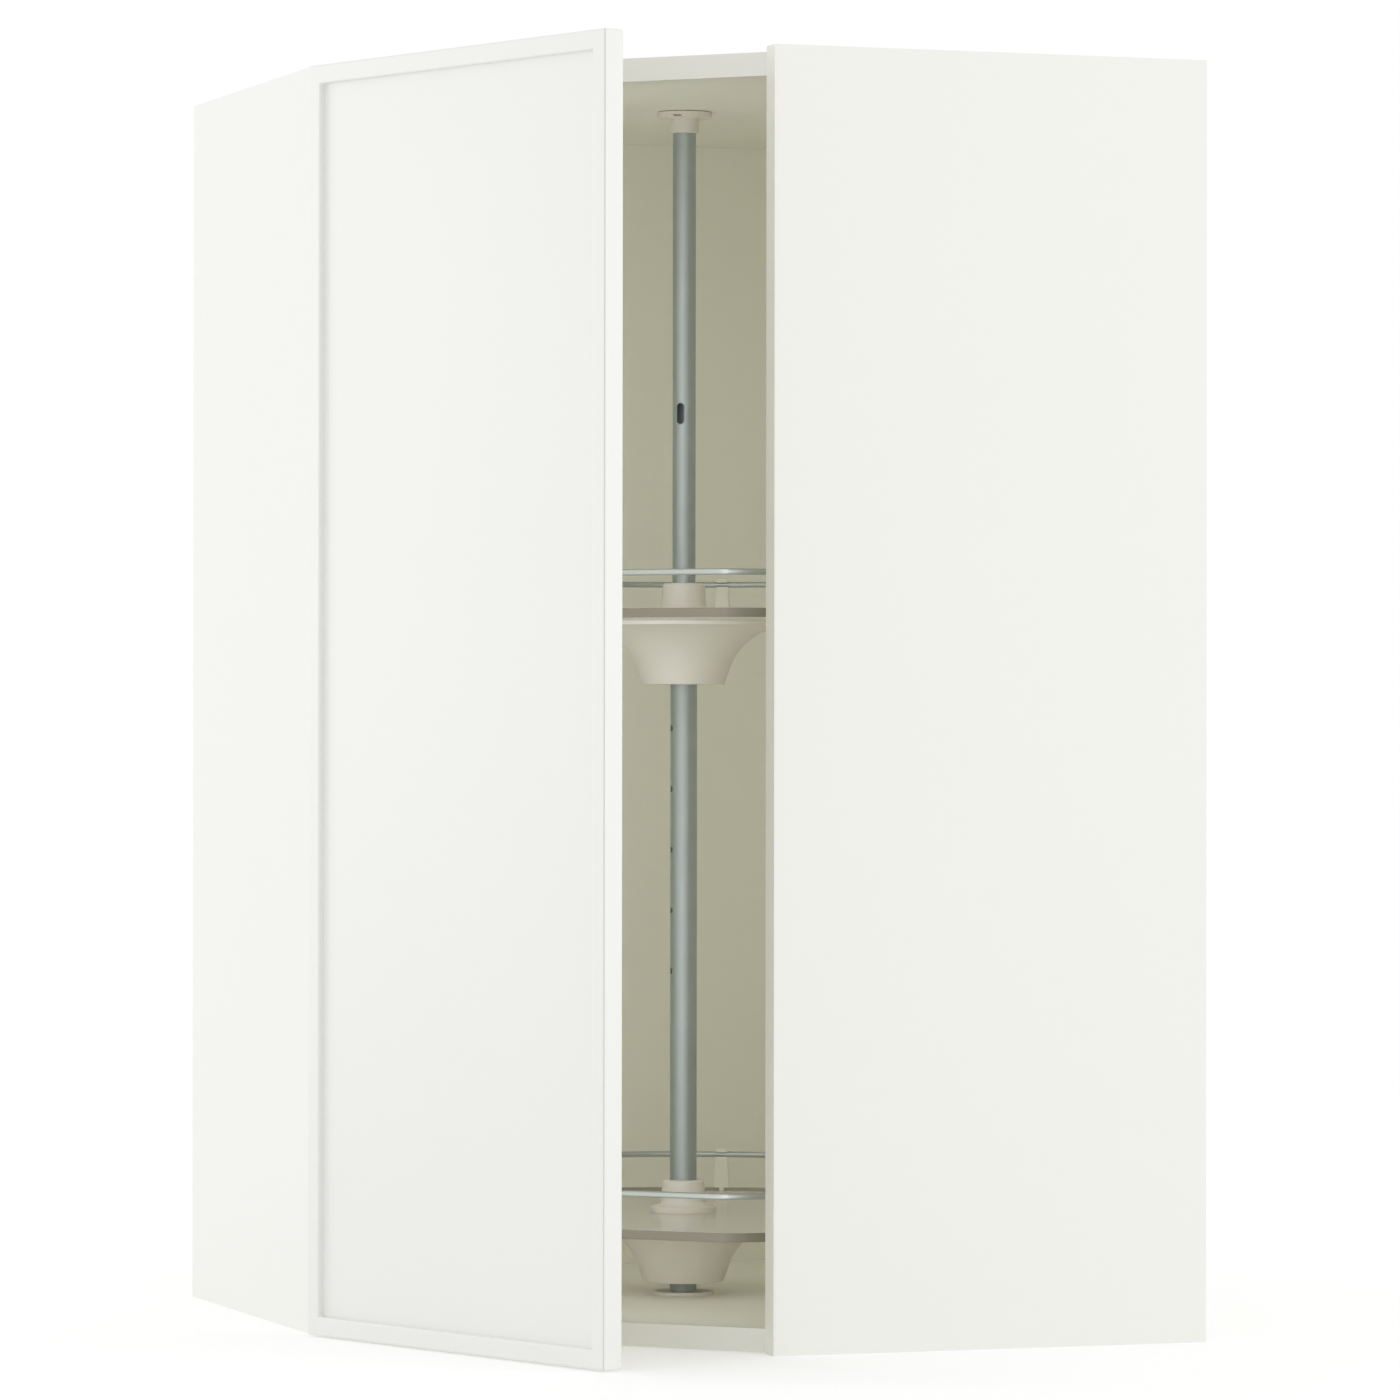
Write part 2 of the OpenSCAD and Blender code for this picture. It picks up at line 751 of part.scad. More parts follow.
// Round outline with one straight edge, whose front faces +y here
module d_outline(r, f, c) {
    k = corner_at(r, f, c);
    reach = r / (r - c);
    intersection() {
        circle(r, $fn = 180);
        polygon([[-k[0], f], [k[0], f], k * reach, k * 1.5 * reach, [2 * r, -2 * r], [-2 * r, -2 * r],
            [-k[0], k[1]] * 1.5 * reach, [-k[0], k[1]] * reach]);
    }
    for (side = [-1, 1]) translate([side * k[0], k[1]]) circle(c);
}

// Turns the shelf so that its straight edge faces the door
module tray_turned() {
    rotate(tray_turn) children();
}

module hub_screw_places() {
    for (a = hub_screw_dirs) rotate(a) translate([hub_screw_r, 0, -hub_wall]) children();
}

module tray(level) {
    color("lightcyan", 0.4) at_shelf(level) difference() {
        tray_turned() linear_extrude(rim_h) d_outline(tray_r, tray_front, tray_corner);
        tray_turned() translate([0, 0, floor_t]) linear_extrude(rim_h)
            d_outline(tray_r - rim_w, tray_front - rim_w, tray_corner - rim_w / 2);
        translate([0, 0, -1]) cylinder(r = spigot_r + groove_gap, h = rim_h + 2);
        hub_screw_places() screw_hole(hub_screw);
        post_places() translate([0, 0, -post_peg_h - groove_gap])
            cylinder(r = post_peg_r + fixed_gap, h = post_peg_h + 1);
    }
}

module hub_screws(level) {
    color("silver") at_shelf(level) hub_screw_places() screw(hub_screw);
}

// Half section of the hub's outer shape; "in" moves it inwards for the hollow
module hub_section(in) {
    taper_z = 10;
    start = [hub_foot_r + 3.5, taper_z];
    end = [hub_rim_r, hub_h - hub_lip];
    mid = (start + end) / 2;
    chord = end - start;
    sag = sqrt(pow(hub_flare_r, 2) - pow(norm(chord) / 2, 2));
    centre = mid + [chord[1], -chord[0]] / norm(chord) * sag;
    difference() {
        polygon([[0, in], [hub_foot_r - in, in], [start[0] - in, taper_z], [hub_rim_r - in, taper_z],
            [hub_rim_r - in, hub_h - in], [0, hub_h - in]]);
        translate(centre) circle(hub_flare_r + in, $fn = 180);
    }
}

module hub(level) {
    color("antiquewhite") at_shelf(level) translate([0, 0, -hub_h]) difference() {
        rotate_extrude() hub_section(0);
        rotate_extrude() hub_section(hub_wall);
        translate([0, 0, -1]) cylinder(d = lower_tube_d + 2 * free_gap, h = hub_wall + 2);
        translate([0, 0, hub_h - hub_wall - 1]) cylinder(r = spigot_r + groove_gap, h = hub_wall + 2);
        translate([0, 0, hub_h]) hub_screw_places() screw_hole(hub_screw);
    }
}

module collar(level) {
    fillet = 5;
    stem_r = spigot_r + 1;
    flange_r = collar_flange_d / 2;
    z0 = floor_t;
    color("antiquewhite") at_shelf(level) difference() {
        rotate_extrude() difference() {
            polygon([[0, -spigot_h], [spigot_r, -spigot_h], [spigot_r, z0], [flange_r, z0],
                [flange_r, z0 + collar_flange_t - 1.5], [flange_r - 1.5, z0 + collar_flange_t],
                [stem_r + fillet, z0 + collar_flange_t], [stem_r, z0 + collar_flange_t + fillet],
                [spigot_r, collar_top - 1.5], [spigot_r - 1.5, collar_top], [0, collar_top]]);
            translate([stem_r + fillet, z0 + collar_flange_t + fillet]) circle(fillet);
        }
        if (level == 0) {
            translate([0, 0, -spigot_h - 1]) cylinder(r = bore_r, h = collar_top + spigot_h + 2);
        } else {
            translate([0, 0, -spigot_h - 1])
                cylinder(r = bore_r, h = 1 + spigot_h + collar_top - tube_hide + free_gap);
            cylinder(d = upper_tube_d + 2 * free_gap, h = collar_top + 1);
        }
        hub_screw_places() screw_hole(hub_screw);
    }
}

// A rod bent round a D outline: the long arc, two corners and the straight front
module d_rod(r, f, c, d) {
    k = corner_at(r, f, c);
    open = atan2(k[0], k[1]);
    rotate(90 + open) rotate_extrude(angle = 360 - 2 * open, $fn = 180) translate([r, 0])
        circle(d = d, $fn = 24);
    for (side = [-1, 1]) translate([side * k[0], k[1], 0]) rotate(side > 0 ? 90 - open : 90)
        rotate_extrude(angle = open) translate([c, 0]) circle(d = d, $fn = 24);
    translate([-k[0], f, 0]) rotate([0, 90, 0]) cylinder(d = d, h = 2 * k[0], $fn = 24);
}

module rail_rod(d) {
    translate([0, 0, rail_z]) tray_turned()
        d_rod(tray_r - rail_in, tray_front - rail_in, tray_corner - rail_in, d);
}

module rail(level) {
    color("silver") at_shelf(level) rail_rod(rail_d);
}

// Post places: at the rim's top, x along the tray's edge
module post_places() {
    tray_turned() for (side = [-1, 1]) for (a = post_dirs) rotate(side * a)
        translate([0, -(tray_r - rim_w / 2), rim_h]) children();
}

module post() {
    intersection() {
        rotate([90, 0, 0]) linear_extrude(post_t, center = true) polygon([[-post_w / 2, 0], [post_w / 2, 0],
            [post_top_w / 2, post_h - 1.5], [post_top_w / 2 - 1.5, post_h],
            [1.5 - post_top_w / 2, post_h], [-post_top_w / 2, post_h - 1.5]]);
        cube([post_w + 1, post_t + 1, 2 * post_h + 1], center = true);
    }
    translate([0, 0, -post_peg_h]) cylinder(r = post_peg_r, h = post_peg_h + eps);
}

module rail_posts(level) {
    color("antiquewhite") at_shelf(level) difference() {
        post_places() post();
        rail_rod(rail_d + 2 * rail_gap);
    }
}

// ---- Shelf supports on the pole ----

module support_ring(level) {
    color("dimgray") at_shelf(level) translate([0, 0, ring_top - ring_h]) difference() {
        cylinder(d = ring_d, h = ring_h);
        translate([0, 0, -1]) cylinder(d = lower_tube_d + 2 * fixed_gap, h = ring_h + 2);
        translate([0, 0, ring_h / 2]) cross_hole(hole_d);
    }
}

module support_pin(level) {
    color("gray") at_shelf(level) translate([0, 0, pin_z]) rotate([90, 0, 0])
        cylinder(d = hole_d - 2 * fixed_gap, h = ring_d - 1, center = true);
}

module thrust_washer(level) {
    color("white") at_shelf(level) translate([0, 0, ring_top]) difference() {
        cylinder(r = spigot_r, h = washer_t);
        translate([0, 0, -1]) cylinder(r = bore_r, h = washer_t + 2);
    }
}

bottom_panel();
top_panel();
left_side_panel();
right_side_panel();
left_back_panel();
right_back_panel();
corner_batten();
back_panel_screws();
cam_bolts();
cam_locks();
dowels();
left_hanging_bracket();
right_hanging_bracket();
bracket_screws();
pole_foot();
pole_lower_tube();
pole_upper_tube();
pole_top_cup();
support_ring(0);  // lower_support_ring
support_pin(0);  // lower_support_pin
thrust_washer(0);  // lower_thrust_washer
support_ring(1);  // upper_support_ring
support_pin(1);  // upper_support_pin
thrust_washer(1);  // upper_thrust_washer
hub(0);  // lower_hub
tray(0);  // lower_tray
collar(0);  // lower_collar
rail(0);  // lower_rail
rail_posts(0);  // lower_rail_posts
hub_screws(0);  // lower_hub_screws
hub(1);  // upper_hub
tray(1);  // upper_tray
collar(1);  // upper_collar
rail(1);  // upper_rail
rail_posts(1);  // upper_rail_posts
hub_screws(1);  // upper_hub_screws
hinge_plate(0);  // bottom_hinge_plate
hinge_arm(0);  // bottom_hinge_arm
hinge_link(0);  // bottom_hinge_link
hinge_cup(0);  // bottom_hinge_cup
hinge_plate(1);  // middle_hinge_plate
hinge_arm(1);  // middle_hinge_arm
hinge_link(1);  // middle_hinge_link
hinge_cup(1);  // middle_hinge_cup
hinge_plate(2);  // top_hinge_plate
hinge_arm(2);  // top_hinge_arm
hinge_link(2);  // top_hinge_link
hinge_cup(2);  // top_hinge_cup
hinge_plate_screws();
hinge_arm_screws();
hinge_arm_pins();
hinge_cup_pins();
hinge_cup_screws();
door_panel();
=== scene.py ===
"""Dresses the corner carousel cabinet: boards, door, hinges, pole and turning shelves.

Every piece sits in the frame's own coordinates, in metres. The pole is the z axis, the walls stand at
-x and +y, and the diagonal front looks towards +x and -y.
"""

import json
import logging
import math
from contextlib import contextmanager
from dataclasses import dataclass, field
from enum import Enum
from typing import Callable, Iterator

import bmesh
import bpy
from mathutils import Matrix, Vector


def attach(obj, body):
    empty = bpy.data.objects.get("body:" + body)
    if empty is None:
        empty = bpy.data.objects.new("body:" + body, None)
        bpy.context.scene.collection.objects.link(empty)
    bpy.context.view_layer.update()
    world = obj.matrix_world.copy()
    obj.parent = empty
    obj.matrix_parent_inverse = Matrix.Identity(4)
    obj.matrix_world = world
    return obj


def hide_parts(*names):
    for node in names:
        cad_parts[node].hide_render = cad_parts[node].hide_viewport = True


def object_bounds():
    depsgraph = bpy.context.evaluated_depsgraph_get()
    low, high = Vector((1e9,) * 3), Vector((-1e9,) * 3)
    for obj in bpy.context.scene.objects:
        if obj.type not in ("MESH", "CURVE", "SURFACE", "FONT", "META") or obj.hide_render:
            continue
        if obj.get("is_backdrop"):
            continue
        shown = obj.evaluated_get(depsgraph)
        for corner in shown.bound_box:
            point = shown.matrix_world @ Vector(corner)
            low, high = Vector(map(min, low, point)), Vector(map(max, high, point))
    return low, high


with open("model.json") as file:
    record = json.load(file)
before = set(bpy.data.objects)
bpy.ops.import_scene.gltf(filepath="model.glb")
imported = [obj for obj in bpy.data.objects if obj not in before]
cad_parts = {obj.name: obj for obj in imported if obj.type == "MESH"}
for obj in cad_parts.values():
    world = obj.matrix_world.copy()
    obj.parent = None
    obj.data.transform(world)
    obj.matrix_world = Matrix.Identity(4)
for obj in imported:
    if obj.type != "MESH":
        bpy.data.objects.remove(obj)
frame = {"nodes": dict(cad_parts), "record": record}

Pair = tuple[float, float]
Colour = tuple[float, float, float]
Point = tuple[float, float, float]
Section = list[tuple[float, float, float]]
Piece = bpy.types.Object
Edge = bmesh.types.BMEdge
Face = bpy.types.MeshPolygon
Tree = bpy.types.NodeTree

LOG = logging.getLogger("cabinet")
MM = 0.001
PAST = MM  # how far a tool reaches past the face that it enters
HALF = math.sqrt(0.5)
FACING = 0.9  # least part of a unit vector along a direction, for a face or an edge that points that way
MIRROR = Matrix(((0, -1, 0, 0), (-1, 0, 0, 0), (0, 0, 1, 0), (0, 0, 0, 1)))  # swaps the left and right wall
FINE, COARSE = 96, 24  # faces round a large and a small bore
FLAT_BREAK = 30.0  # degrees past which an edge of a stamped or moulded piece stays sharp
LIGHT_BOUNCES = 32  # enough for the white inside of the cabinet


# --- Modelling by hand: selection, primitives, cuts and finishing ---


def deselect_all() -> None:
    """Leaves nothing selected, in object mode."""
    if bpy.context.object and bpy.context.object.mode != "OBJECT":
        bpy.ops.object.mode_set(mode="OBJECT")
    bpy.ops.object.select_all(action="DESELECT")


def pick(piece: Piece) -> None:
    """Makes one piece the only selected and the active one.

    Args:
        piece: The piece.
    """
    deselect_all()
    piece.select_set(True)
    bpy.context.view_layer.objects.active = piece


def named(piece: Piece, name: str) -> Piece:
    """Names a piece and its mesh."""
    piece.name = piece.data.name = name
    return piece


class Part(Enum):
    """What is selected in edit mode: the mesh's list of it, and the select tool's mode."""

    POINTS = ("verts", "VERT")
    EDGES = ("edges", "EDGE")
    FACES = ("faces", "FACE")


@contextmanager
def editing(piece: Piece, everything: bool = False) -> Iterator[None]:
    """Opens a piece in edit mode.

    Args:
        piece: The mesh to edit.
        everything: Whether all of it is selected, or else nothing.

    Yields:
        Nothing. The piece goes back to object mode at the end.
    """
    pick(piece)
    bpy.ops.object.mode_set(mode="EDIT")
    bpy.ops.mesh.select_mode(type="VERT")
    bpy.ops.mesh.select_all(action="SELECT" if everything else "DESELECT")
    yield
    bpy.ops.object.mode_set(mode="OBJECT")


def select(piece: Piece, part: Part, test: Callable[..., bool]) -> None:
    """Selects the points, edges or faces that pass a test, and nothing else.

    Args:
        piece: The piece, in edit mode.
        part: What is selected.
        test: Says whether one of them is selected.
    """
    elements, mode = part.value
    bpy.ops.mesh.select_mode(type=mode)
    bpy.ops.mesh.select_all(action="DESELECT")
    mesh = bmesh.from_edit_mesh(piece.data)
    for element in getattr(mesh, elements):
        if test(element):
            element.select_set(True)
    bmesh.update_edit_mesh(piece.data)


def settle(piece: Piece) -> Piece:
    """Puts a piece's place, turn and scale into its mesh.

    Args:
        piece: The piece.

    Returns:
        The same piece.
    """
    pick(piece)
    bpy.ops.object.transform_apply(location=True, rotation=True, scale=True)
    return piece


def apply_modifier(piece: Piece, kind: str, **values: object) -> None:
    """Adds a modifier, sets its values and applies it.

    Args:
        piece: The piece.
        kind: The modifier's kind.
        values: Its values by name.
    """
    pick(piece)
    modifier = piece.modifiers.new(kind.lower(), kind)
    for name, value in values.items():
        setattr(modifier, name, value)
    bpy.ops.object.modifier_apply(modifier=modifier.name)


def smooth(piece: Piece, degrees: float = 35.0) -> Piece:
    """Shades a piece smooth, except across sharper edges, and keeps its flat faces flat.

    Args:
        piece: The piece.
        degrees: The angle past which an edge stays sharp.

    Returns:
        The same piece.
    """
    pick(piece)
    bpy.ops.object.shade_smooth_by_angle(angle=math.radians(degrees))
    apply_modifier(piece, "WEIGHTED_NORMAL", keep_sharp=True, weight=80)
    return piece


def mend(piece: Piece) -> None:
    """Merges doubled points and turns the faces outwards.

    Args:
        piece: The piece.
    """
    with editing(piece, True):
        bpy.ops.mesh.remove_doubles(threshold=MM * 0.02)
        bpy.ops.mesh.normals_make_consistent(inside=False)


def extrude(x: float, y: float, z: float) -> None:
    """Extrudes what is selected by a vector."""
    bpy.ops.mesh.extrude_region_move(TRANSFORM_OT_translate={"value": (x, y, z)})


def box_piece(name: str, low: Point, high: Point) -> Piece:
    """Adds a block between two corners.

    Args:
        name: The piece's name.
        low: Its lowest corner.
        high: Its highest corner.

    Returns:
        The new piece, with its place in its mesh.
    """
    deselect_all()
    bpy.ops.mesh.primitive_cube_add(size=1, location=[(a + b) / 2 for a, b in zip(low, high)])
    piece = named(bpy.context.object, name)
    piece.scale = [b - a for a, b in zip(low, high)]
    return settle(piece)


def round_bar(name: str, radius: float, start: Point, end: Point, sides: int = 48) -> Piece:
    """Adds a round bar from one point to another.

    Args:
        name: The piece's name.
        radius: Its radius.
        start: Centre of its first end.
        end: Centre of its other end.
        sides: Faces round it.

    Returns:
        The new piece, with its place in its mesh.
    """
    deselect_all()
    run = Vector(end) - Vector(start)
    bpy.ops.mesh.primitive_cylinder_add(
        vertices=sides, radius=radius, depth=run.length, location=(Vector(start) + Vector(end)) / 2
    )
    piece = named(bpy.context.object, name)
    piece.rotation_euler = run.to_track_quat("Z", "Y").to_euler()
    return settle(piece)


def single_point(name: str, at: Point) -> Piece:
    """Adds a piece that is one point, from which an outline is drawn by extruding it.

    Args:
        name: The piece's name.
        at: The point.

    Returns:
        The new piece, with its place in its mesh.
    """
    deselect_all()
    bpy.ops.mesh.primitive_plane_add(size=MM, location=at)
    piece = named(settle(bpy.context.object), name)
    with editing(piece, True):
        bpy.ops.mesh.merge(type="CENTER")
    return piece


def sharp(edge: Edge) -> bool:
    """Whether two faces meet at an edge at more than 40 degrees."""
    return len(edge.link_faces) == 2 and edge.calc_face_angle() > math.radians(40)


def middle(edge: Edge) -> Vector:
    """The middle of an edge."""
    return (edge.verts[0].co + edge.verts[1].co) / 2


def upright(edge: Edge) -> bool:
    """Whether an edge runs along z."""
    run = edge.verts[1].co - edge.verts[0].co
    return abs(run.z) > FACING * run.length


def spans(edge: Edge, axis: int, least: float) -> bool:
    """Whether an edge runs further than a length along an axis."""
    return abs((edge.verts[1].co - edge.verts[0].co)[axis]) > least


def bevel_edges(
    piece: Piece, width: float, segments: int, chosen: Callable[[Edge], bool] = lambda edge: True
) -> None:
    """Rounds the sharp edges of a piece.

    Args:
        piece: The piece to work on.
        width: How far the rounding reaches from the edge.
        segments: Steps of the rounding.
        chosen: Says which of the sharp edges are rounded.
    """
    with editing(piece):
        select(piece, Part.EDGES, lambda edge: sharp(edge) and chosen(edge))
        bpy.ops.mesh.bevel(offset=width, segments=segments, profile=0.5, affect="EDGES", clamp_overlap=True)


def round_corners(piece: Piece, radius: float, axis: int, least: float) -> None:
    """Rounds the corners of a flat piece.

    Args:
        piece: The piece.
        radius: Radius of the corners.
        axis: The axis across its thickness.
        least: Length along the axis that tells a corner from its other edges.
    """
    with editing(piece):
        select(piece, Part.EDGES, lambda edge: spans(edge, axis, least))
        bpy.ops.mesh.bevel(offset=radius, segments=6, profile=0.5, affect="EDGES")


def trim(piece: Piece, at: Point, outward: Point) -> None:
    """Cuts off what lies past a plane and closes the cut.

    Args:
        piece: The piece to cut.
        at: A point of the plane.
        outward: The plane's direction, towards what goes.
    """
    with editing(piece, True):
        bpy.ops.mesh.bisect(plane_co=at, plane_no=outward, use_fill=True, clear_outer=True)


def split(piece: Piece, at: Point, outward: Point, name: str) -> Piece:
    """Cuts a piece in two.

    Args:
        piece: The piece to cut. It keeps what lies before the plane.
        at: A point of the plane.
        outward: The plane's direction.
        name: Name of the part past the plane.

    Returns:
        The part past the plane.
    """
    far = copy_of(piece, name)
    trim(piece, at, outward)
    trim(far, at, tuple(-c for c in outward))
    return far


def cut_away(piece: Piece, *tools: Piece) -> None:
    """Cuts each tool's shape out of a piece and deletes the tool.

    Args:
        piece: The piece.
        tools: The tools.
    """
    for tool in tools:
        apply_modifier(piece, "BOOLEAN", operation="DIFFERENCE", solver="EXACT", object=tool)
        bpy.data.objects.remove(tool)


def bore(piece: Piece, start: Point, end: Point, radius: float, sides: int = 48) -> None:
    """Bores a round hole from one point to another."""
    cut_away(piece, round_bar("bit", radius, start, end, sides))


def notch(piece: Piece, low: Point, high: Point) -> None:
    """Cuts a square notch between two corners."""
    cut_away(piece, box_piece("blade", low, high))


def rounded(outline: Section, steps: int = 4) -> list[Pair]:
    """Rounds the corners of a section.

    Args:
        outline: Points (radius, height, corner radius), in order round the closed section.
        steps: Points on each rounded corner, less one.

    Returns:
        The outline's points with every corner replaced by its arc.
    """
    points: list[Pair] = []
    for i, (x, y, r) in enumerate(outline):
        here = Vector((x, y))
        before = Vector(outline[i - 1][:2]) - here
        after = Vector(outline[(i + 1) % len(outline)][:2]) - here
        if r <= 0:
            points.append((x, y))
            continue
        half = before.angle(after) / 2
        reach = r / math.tan(half)
        a, b = here + before.normalized() * reach, here + after.normalized() * reach
        centre = here + (before.normalized() + after.normalized()).normalized() * (r / math.sin(half))
        start = math.atan2(*(a - centre).yx)
        sweep = math.atan2(*(b - centre).yx) - start
        sweep = (sweep + math.pi) % math.tau - math.pi
        for k in range(steps + 1):
            angle = start + sweep * k / steps
            points.append((centre.x + r * math.cos(angle), centre.y + r * math.sin(angle)))
    return points


def turned(name: str, outline: Section, around: int = FINE, steps: int = 4) -> Piece:
    """Spins a closed section round the pole's axis.

    Args:
        name: The piece's name.
        outline: Points (radius, height, corner radius) of the section, in order, outside first.
        around: Steps of the spin.
        steps: Steps of each rounded corner.

    Returns:
        The turned piece.
    """
    points = rounded(outline, steps)
    piece = single_point(name, (points[0][0], 0, points[0][1]))
    with editing(piece, True):
        for (r0, z0), (r1, z1) in zip(points, points[1:] + points[:1]):
            extrude(r1 - r0, 0, z1 - z0)
        bpy.ops.mesh.select_all(action="SELECT")
        bpy.ops.mesh.remove_doubles(threshold=MM * 0.01)
        bpy.ops.mesh.select_all(action="SELECT")
        bpy.ops.mesh.spin(steps=around, angle=math.tau, center=(0, 0, 0), axis=(0, 0, 1))
    mend(piece)
    return piece


def copy_of(piece: Piece, name: str) -> Piece:
    """Copies a piece with a mesh of its own.

    Args:
        piece: The piece.
        name: The copy's name.

    Returns:
        The copy.
    """
    twin = piece.copy()
    twin.data = piece.data.copy()
    bpy.context.scene.collection.objects.link(twin)
    return named(twin, name)


def moved(piece: Piece, matrix: Matrix) -> Piece:
    """Moves a piece's mesh by a matrix and leaves its object at the origin.

    Args:
        piece: The piece.
        matrix: The move. Where it mirrors, the faces are turned outwards again.

    Returns:
        The same piece.
    """
    piece.matrix_world = matrix @ piece.matrix_world
    settle(piece)
    if matrix.determinant() < 0:
        with editing(piece, True):
            bpy.ops.mesh.normals_make_consistent(inside=False)
    return piece


def joined(pieces: list[Piece], name: str) -> Piece:
    """Joins pieces into one mesh.

    Args:
        pieces: The pieces.
        name: Name of the result.

    Returns:
        The joined piece.
    """
    deselect_all()
    for piece in pieces:
        piece.select_set(True)
    bpy.context.view_layer.objects.active = pieces[0]
    bpy.ops.object.join()
    return named(bpy.context.view_layer.objects.active, name)


def placed(x: float, y: float, z: float, turn: float = 0.0, axis: str = "Z") -> Matrix:
    """A matrix that turns by some degrees about an axis and then moves."""
    return Matrix.Translation((x, y, z)) @ Matrix.Rotation(math.radians(turn), 4, axis)


# --- Shader nodes and the groups that several finishes share ---


def add_node(
    tree: Tree, kind: str, inputs: dict[str | int, object] | None = None, **settings: object
) -> bpy.types.Node:
    """Adds a shader node.

    Args:
        tree: Where it goes.
        kind: Its kind.
        inputs: Values of its inputs.
        settings: Its settings by name.

    Returns:
        The node.
    """
    node = tree.nodes.new("ShaderNode" + kind)
    for name, value in settings.items():
        setattr(node, name, value)
    for key, value in (inputs or {}).items():
        node.inputs[key].default_value = value
    return node


def wire(tree: Tree, *links: tuple[bpy.types.NodeSocket, bpy.types.NodeSocket]) -> None:
    """Joins sockets, each pair from an output to an input."""
    for source, target in links:
        tree.links.new(source, target)


def new_group(
    name: str, inputs: dict[str, float], outputs: tuple[str, ...]
) -> tuple[Tree, bpy.types.NodeOutputs, bpy.types.NodeInputs]:
    """Starts a shader node group.

    Args:
        name: The group's name.
        inputs: Its inputs with their usual values.
        outputs: Its outputs, which are single values.

    Returns:
        The group, the sockets that bring its inputs, and those that take its outputs.
    """
    group = bpy.data.node_groups.new(name, "ShaderNodeTree")
    for key, value in inputs.items():
        socket = group.interface.new_socket(key, in_out="INPUT", socket_type="NodeSocketFloat")
        socket.default_value = value
    for key in outputs:
        group.interface.new_socket(key, in_out="OUTPUT", socket_type="NodeSocketFloat")
    return group, group.nodes.new("NodeGroupInput").outputs, group.nodes.new("NodeGroupOutput").inputs


class Coat(Enum):
    """How a surface is made up."""

    BOARD = "board"
    PLASTIC = "plastic"
    METAL = "metal"
    CLEAR = "clear"
    WOOD = "wood"


class SurfaceEffects:
    """The groups that draw grain, brushing, dust and wood, each built once."""

    def __init__(self) -> None:
        """Builds every group."""
        self.dust = self._dust()
        self._grains = (self._grain(), "Grain Scale", "Blotch")
        self._special = {Coat.METAL: (self._brushing(), "Across Scale", "Streak"),
                         Coat.WOOD: (self._wood(), "Ring Scale", "Lines")}

    def of(self, coat: Coat) -> tuple[Tree, str, str]:
        """The group of a coat, with the names of its scale and of its slow variation."""
        return self._special.get(coat, self._grains)

    def _grain(self) -> Tree:
        """Builds fine even grain with slow blotches, for lacquer, melamine and moulded plastic.

        Returns:
            The group.
        """
        tree, given, out = new_group("fine_grain", {"Grain Scale": 900.0, "Blotch Scale": 6.0},
                                     ("Height", "Blotch"))
        place = add_node(tree, "TexCoord").outputs["Object"]
        for scale, detail, result in (("Grain Scale", 2, "Height"), ("Blotch Scale", 3, "Blotch")):
            noise = add_node(tree, "TexNoise", {"Detail": detail})
            wire(tree, (place, noise.inputs["Vector"]), (given[scale], noise.inputs["Scale"]),
                 (noise.outputs["Fac"], out[result]))
        return tree

    def _brushing(self) -> Tree:
        """Builds streaks drawn along z, for drawn and plated steel.

        Returns:
            The group.
        """
        tree, given, out = new_group("drawn_streaks", {"Across Scale": 1400.0, "Along Scale": 12.0},
                                     ("Height", "Streak"))
        place = add_node(tree, "TexCoord").outputs["Object"]
        apart, together = add_node(tree, "SeparateXYZ"), add_node(tree, "CombineXYZ")
        for axis, scale in (("X", "Across Scale"), ("Y", "Across Scale"), ("Z", "Along Scale")):
            times = add_node(tree, "Math", operation="MULTIPLY")
            wire(tree, (apart.outputs[axis], times.inputs[0]), (given[scale], times.inputs[1]),
                 (times.outputs[0], together.inputs[axis]))
        noise = add_node(tree, "TexNoise", {"Scale": 1, "Detail": 3})
        cloud = add_node(tree, "TexNoise", {"Scale": 35})
        wire(tree, (place, apart.inputs[0]), (together.outputs[0], noise.inputs["Vector"]),
             (place, cloud.inputs["Vector"]), (noise.outputs["Fac"], out["Height"]),
             (cloud.outputs["Fac"], out["Streak"]))
        return tree

    def _dust(self) -> Tree:
        """Builds a mask of fine dust that lies on faces which look up.

        Returns:
            The group.
        """
        tree, given, out = new_group("settled_dust", {"Amount": 0.1, "Speck Scale": 260.0}, ("Mask",))
        place, shape = add_node(tree, "TexCoord"), add_node(tree, "NewGeometry")
        apart, noise = add_node(tree, "SeparateXYZ"), add_node(tree, "TexNoise")
        lying = add_node(tree, "MapRange", {"From Min": 0.6})
        specks, thin = (add_node(tree, "Math", operation="MULTIPLY") for _ in range(2))
        wire(tree, (shape.outputs["Normal"], apart.inputs[0]), (apart.outputs["Z"], lying.inputs["Value"]),
             (place.outputs["Object"], noise.inputs["Vector"]),
             (given["Speck Scale"], noise.inputs["Scale"]), (lying.outputs["Result"], specks.inputs[0]),
             (noise.outputs["Fac"], specks.inputs[1]), (specks.outputs[0], thin.inputs[0]),
             (given["Amount"], thin.inputs[1]), (thin.outputs[0], out["Mask"]))
        return tree

    def _wood(self) -> Tree:
        """Builds the long grain lines of bare softwood, running along z.

        Returns:
            The group.
        """
        tree, given, out = new_group("softwood_lines", {"Ring Scale": 60.0}, ("Lines", "Height"))
        place = add_node(tree, "TexCoord")
        stretch = add_node(tree, "Mapping", {"Scale": (1, 1, 0.06)})
        wave = add_node(tree, "TexWave", {"Distortion": 5, "Detail": 3, "Detail Scale": 1.6})
        wire(tree, (place.outputs["Object"], stretch.inputs["Vector"]),
             (stretch.outputs[0], wave.inputs["Vector"]), (given["Ring Scale"], wave.inputs["Scale"]),
             (wave.outputs["Fac"], out["Lines"]), (wave.outputs["Fac"], out["Height"]))
        return tree


# --- Finishes ---


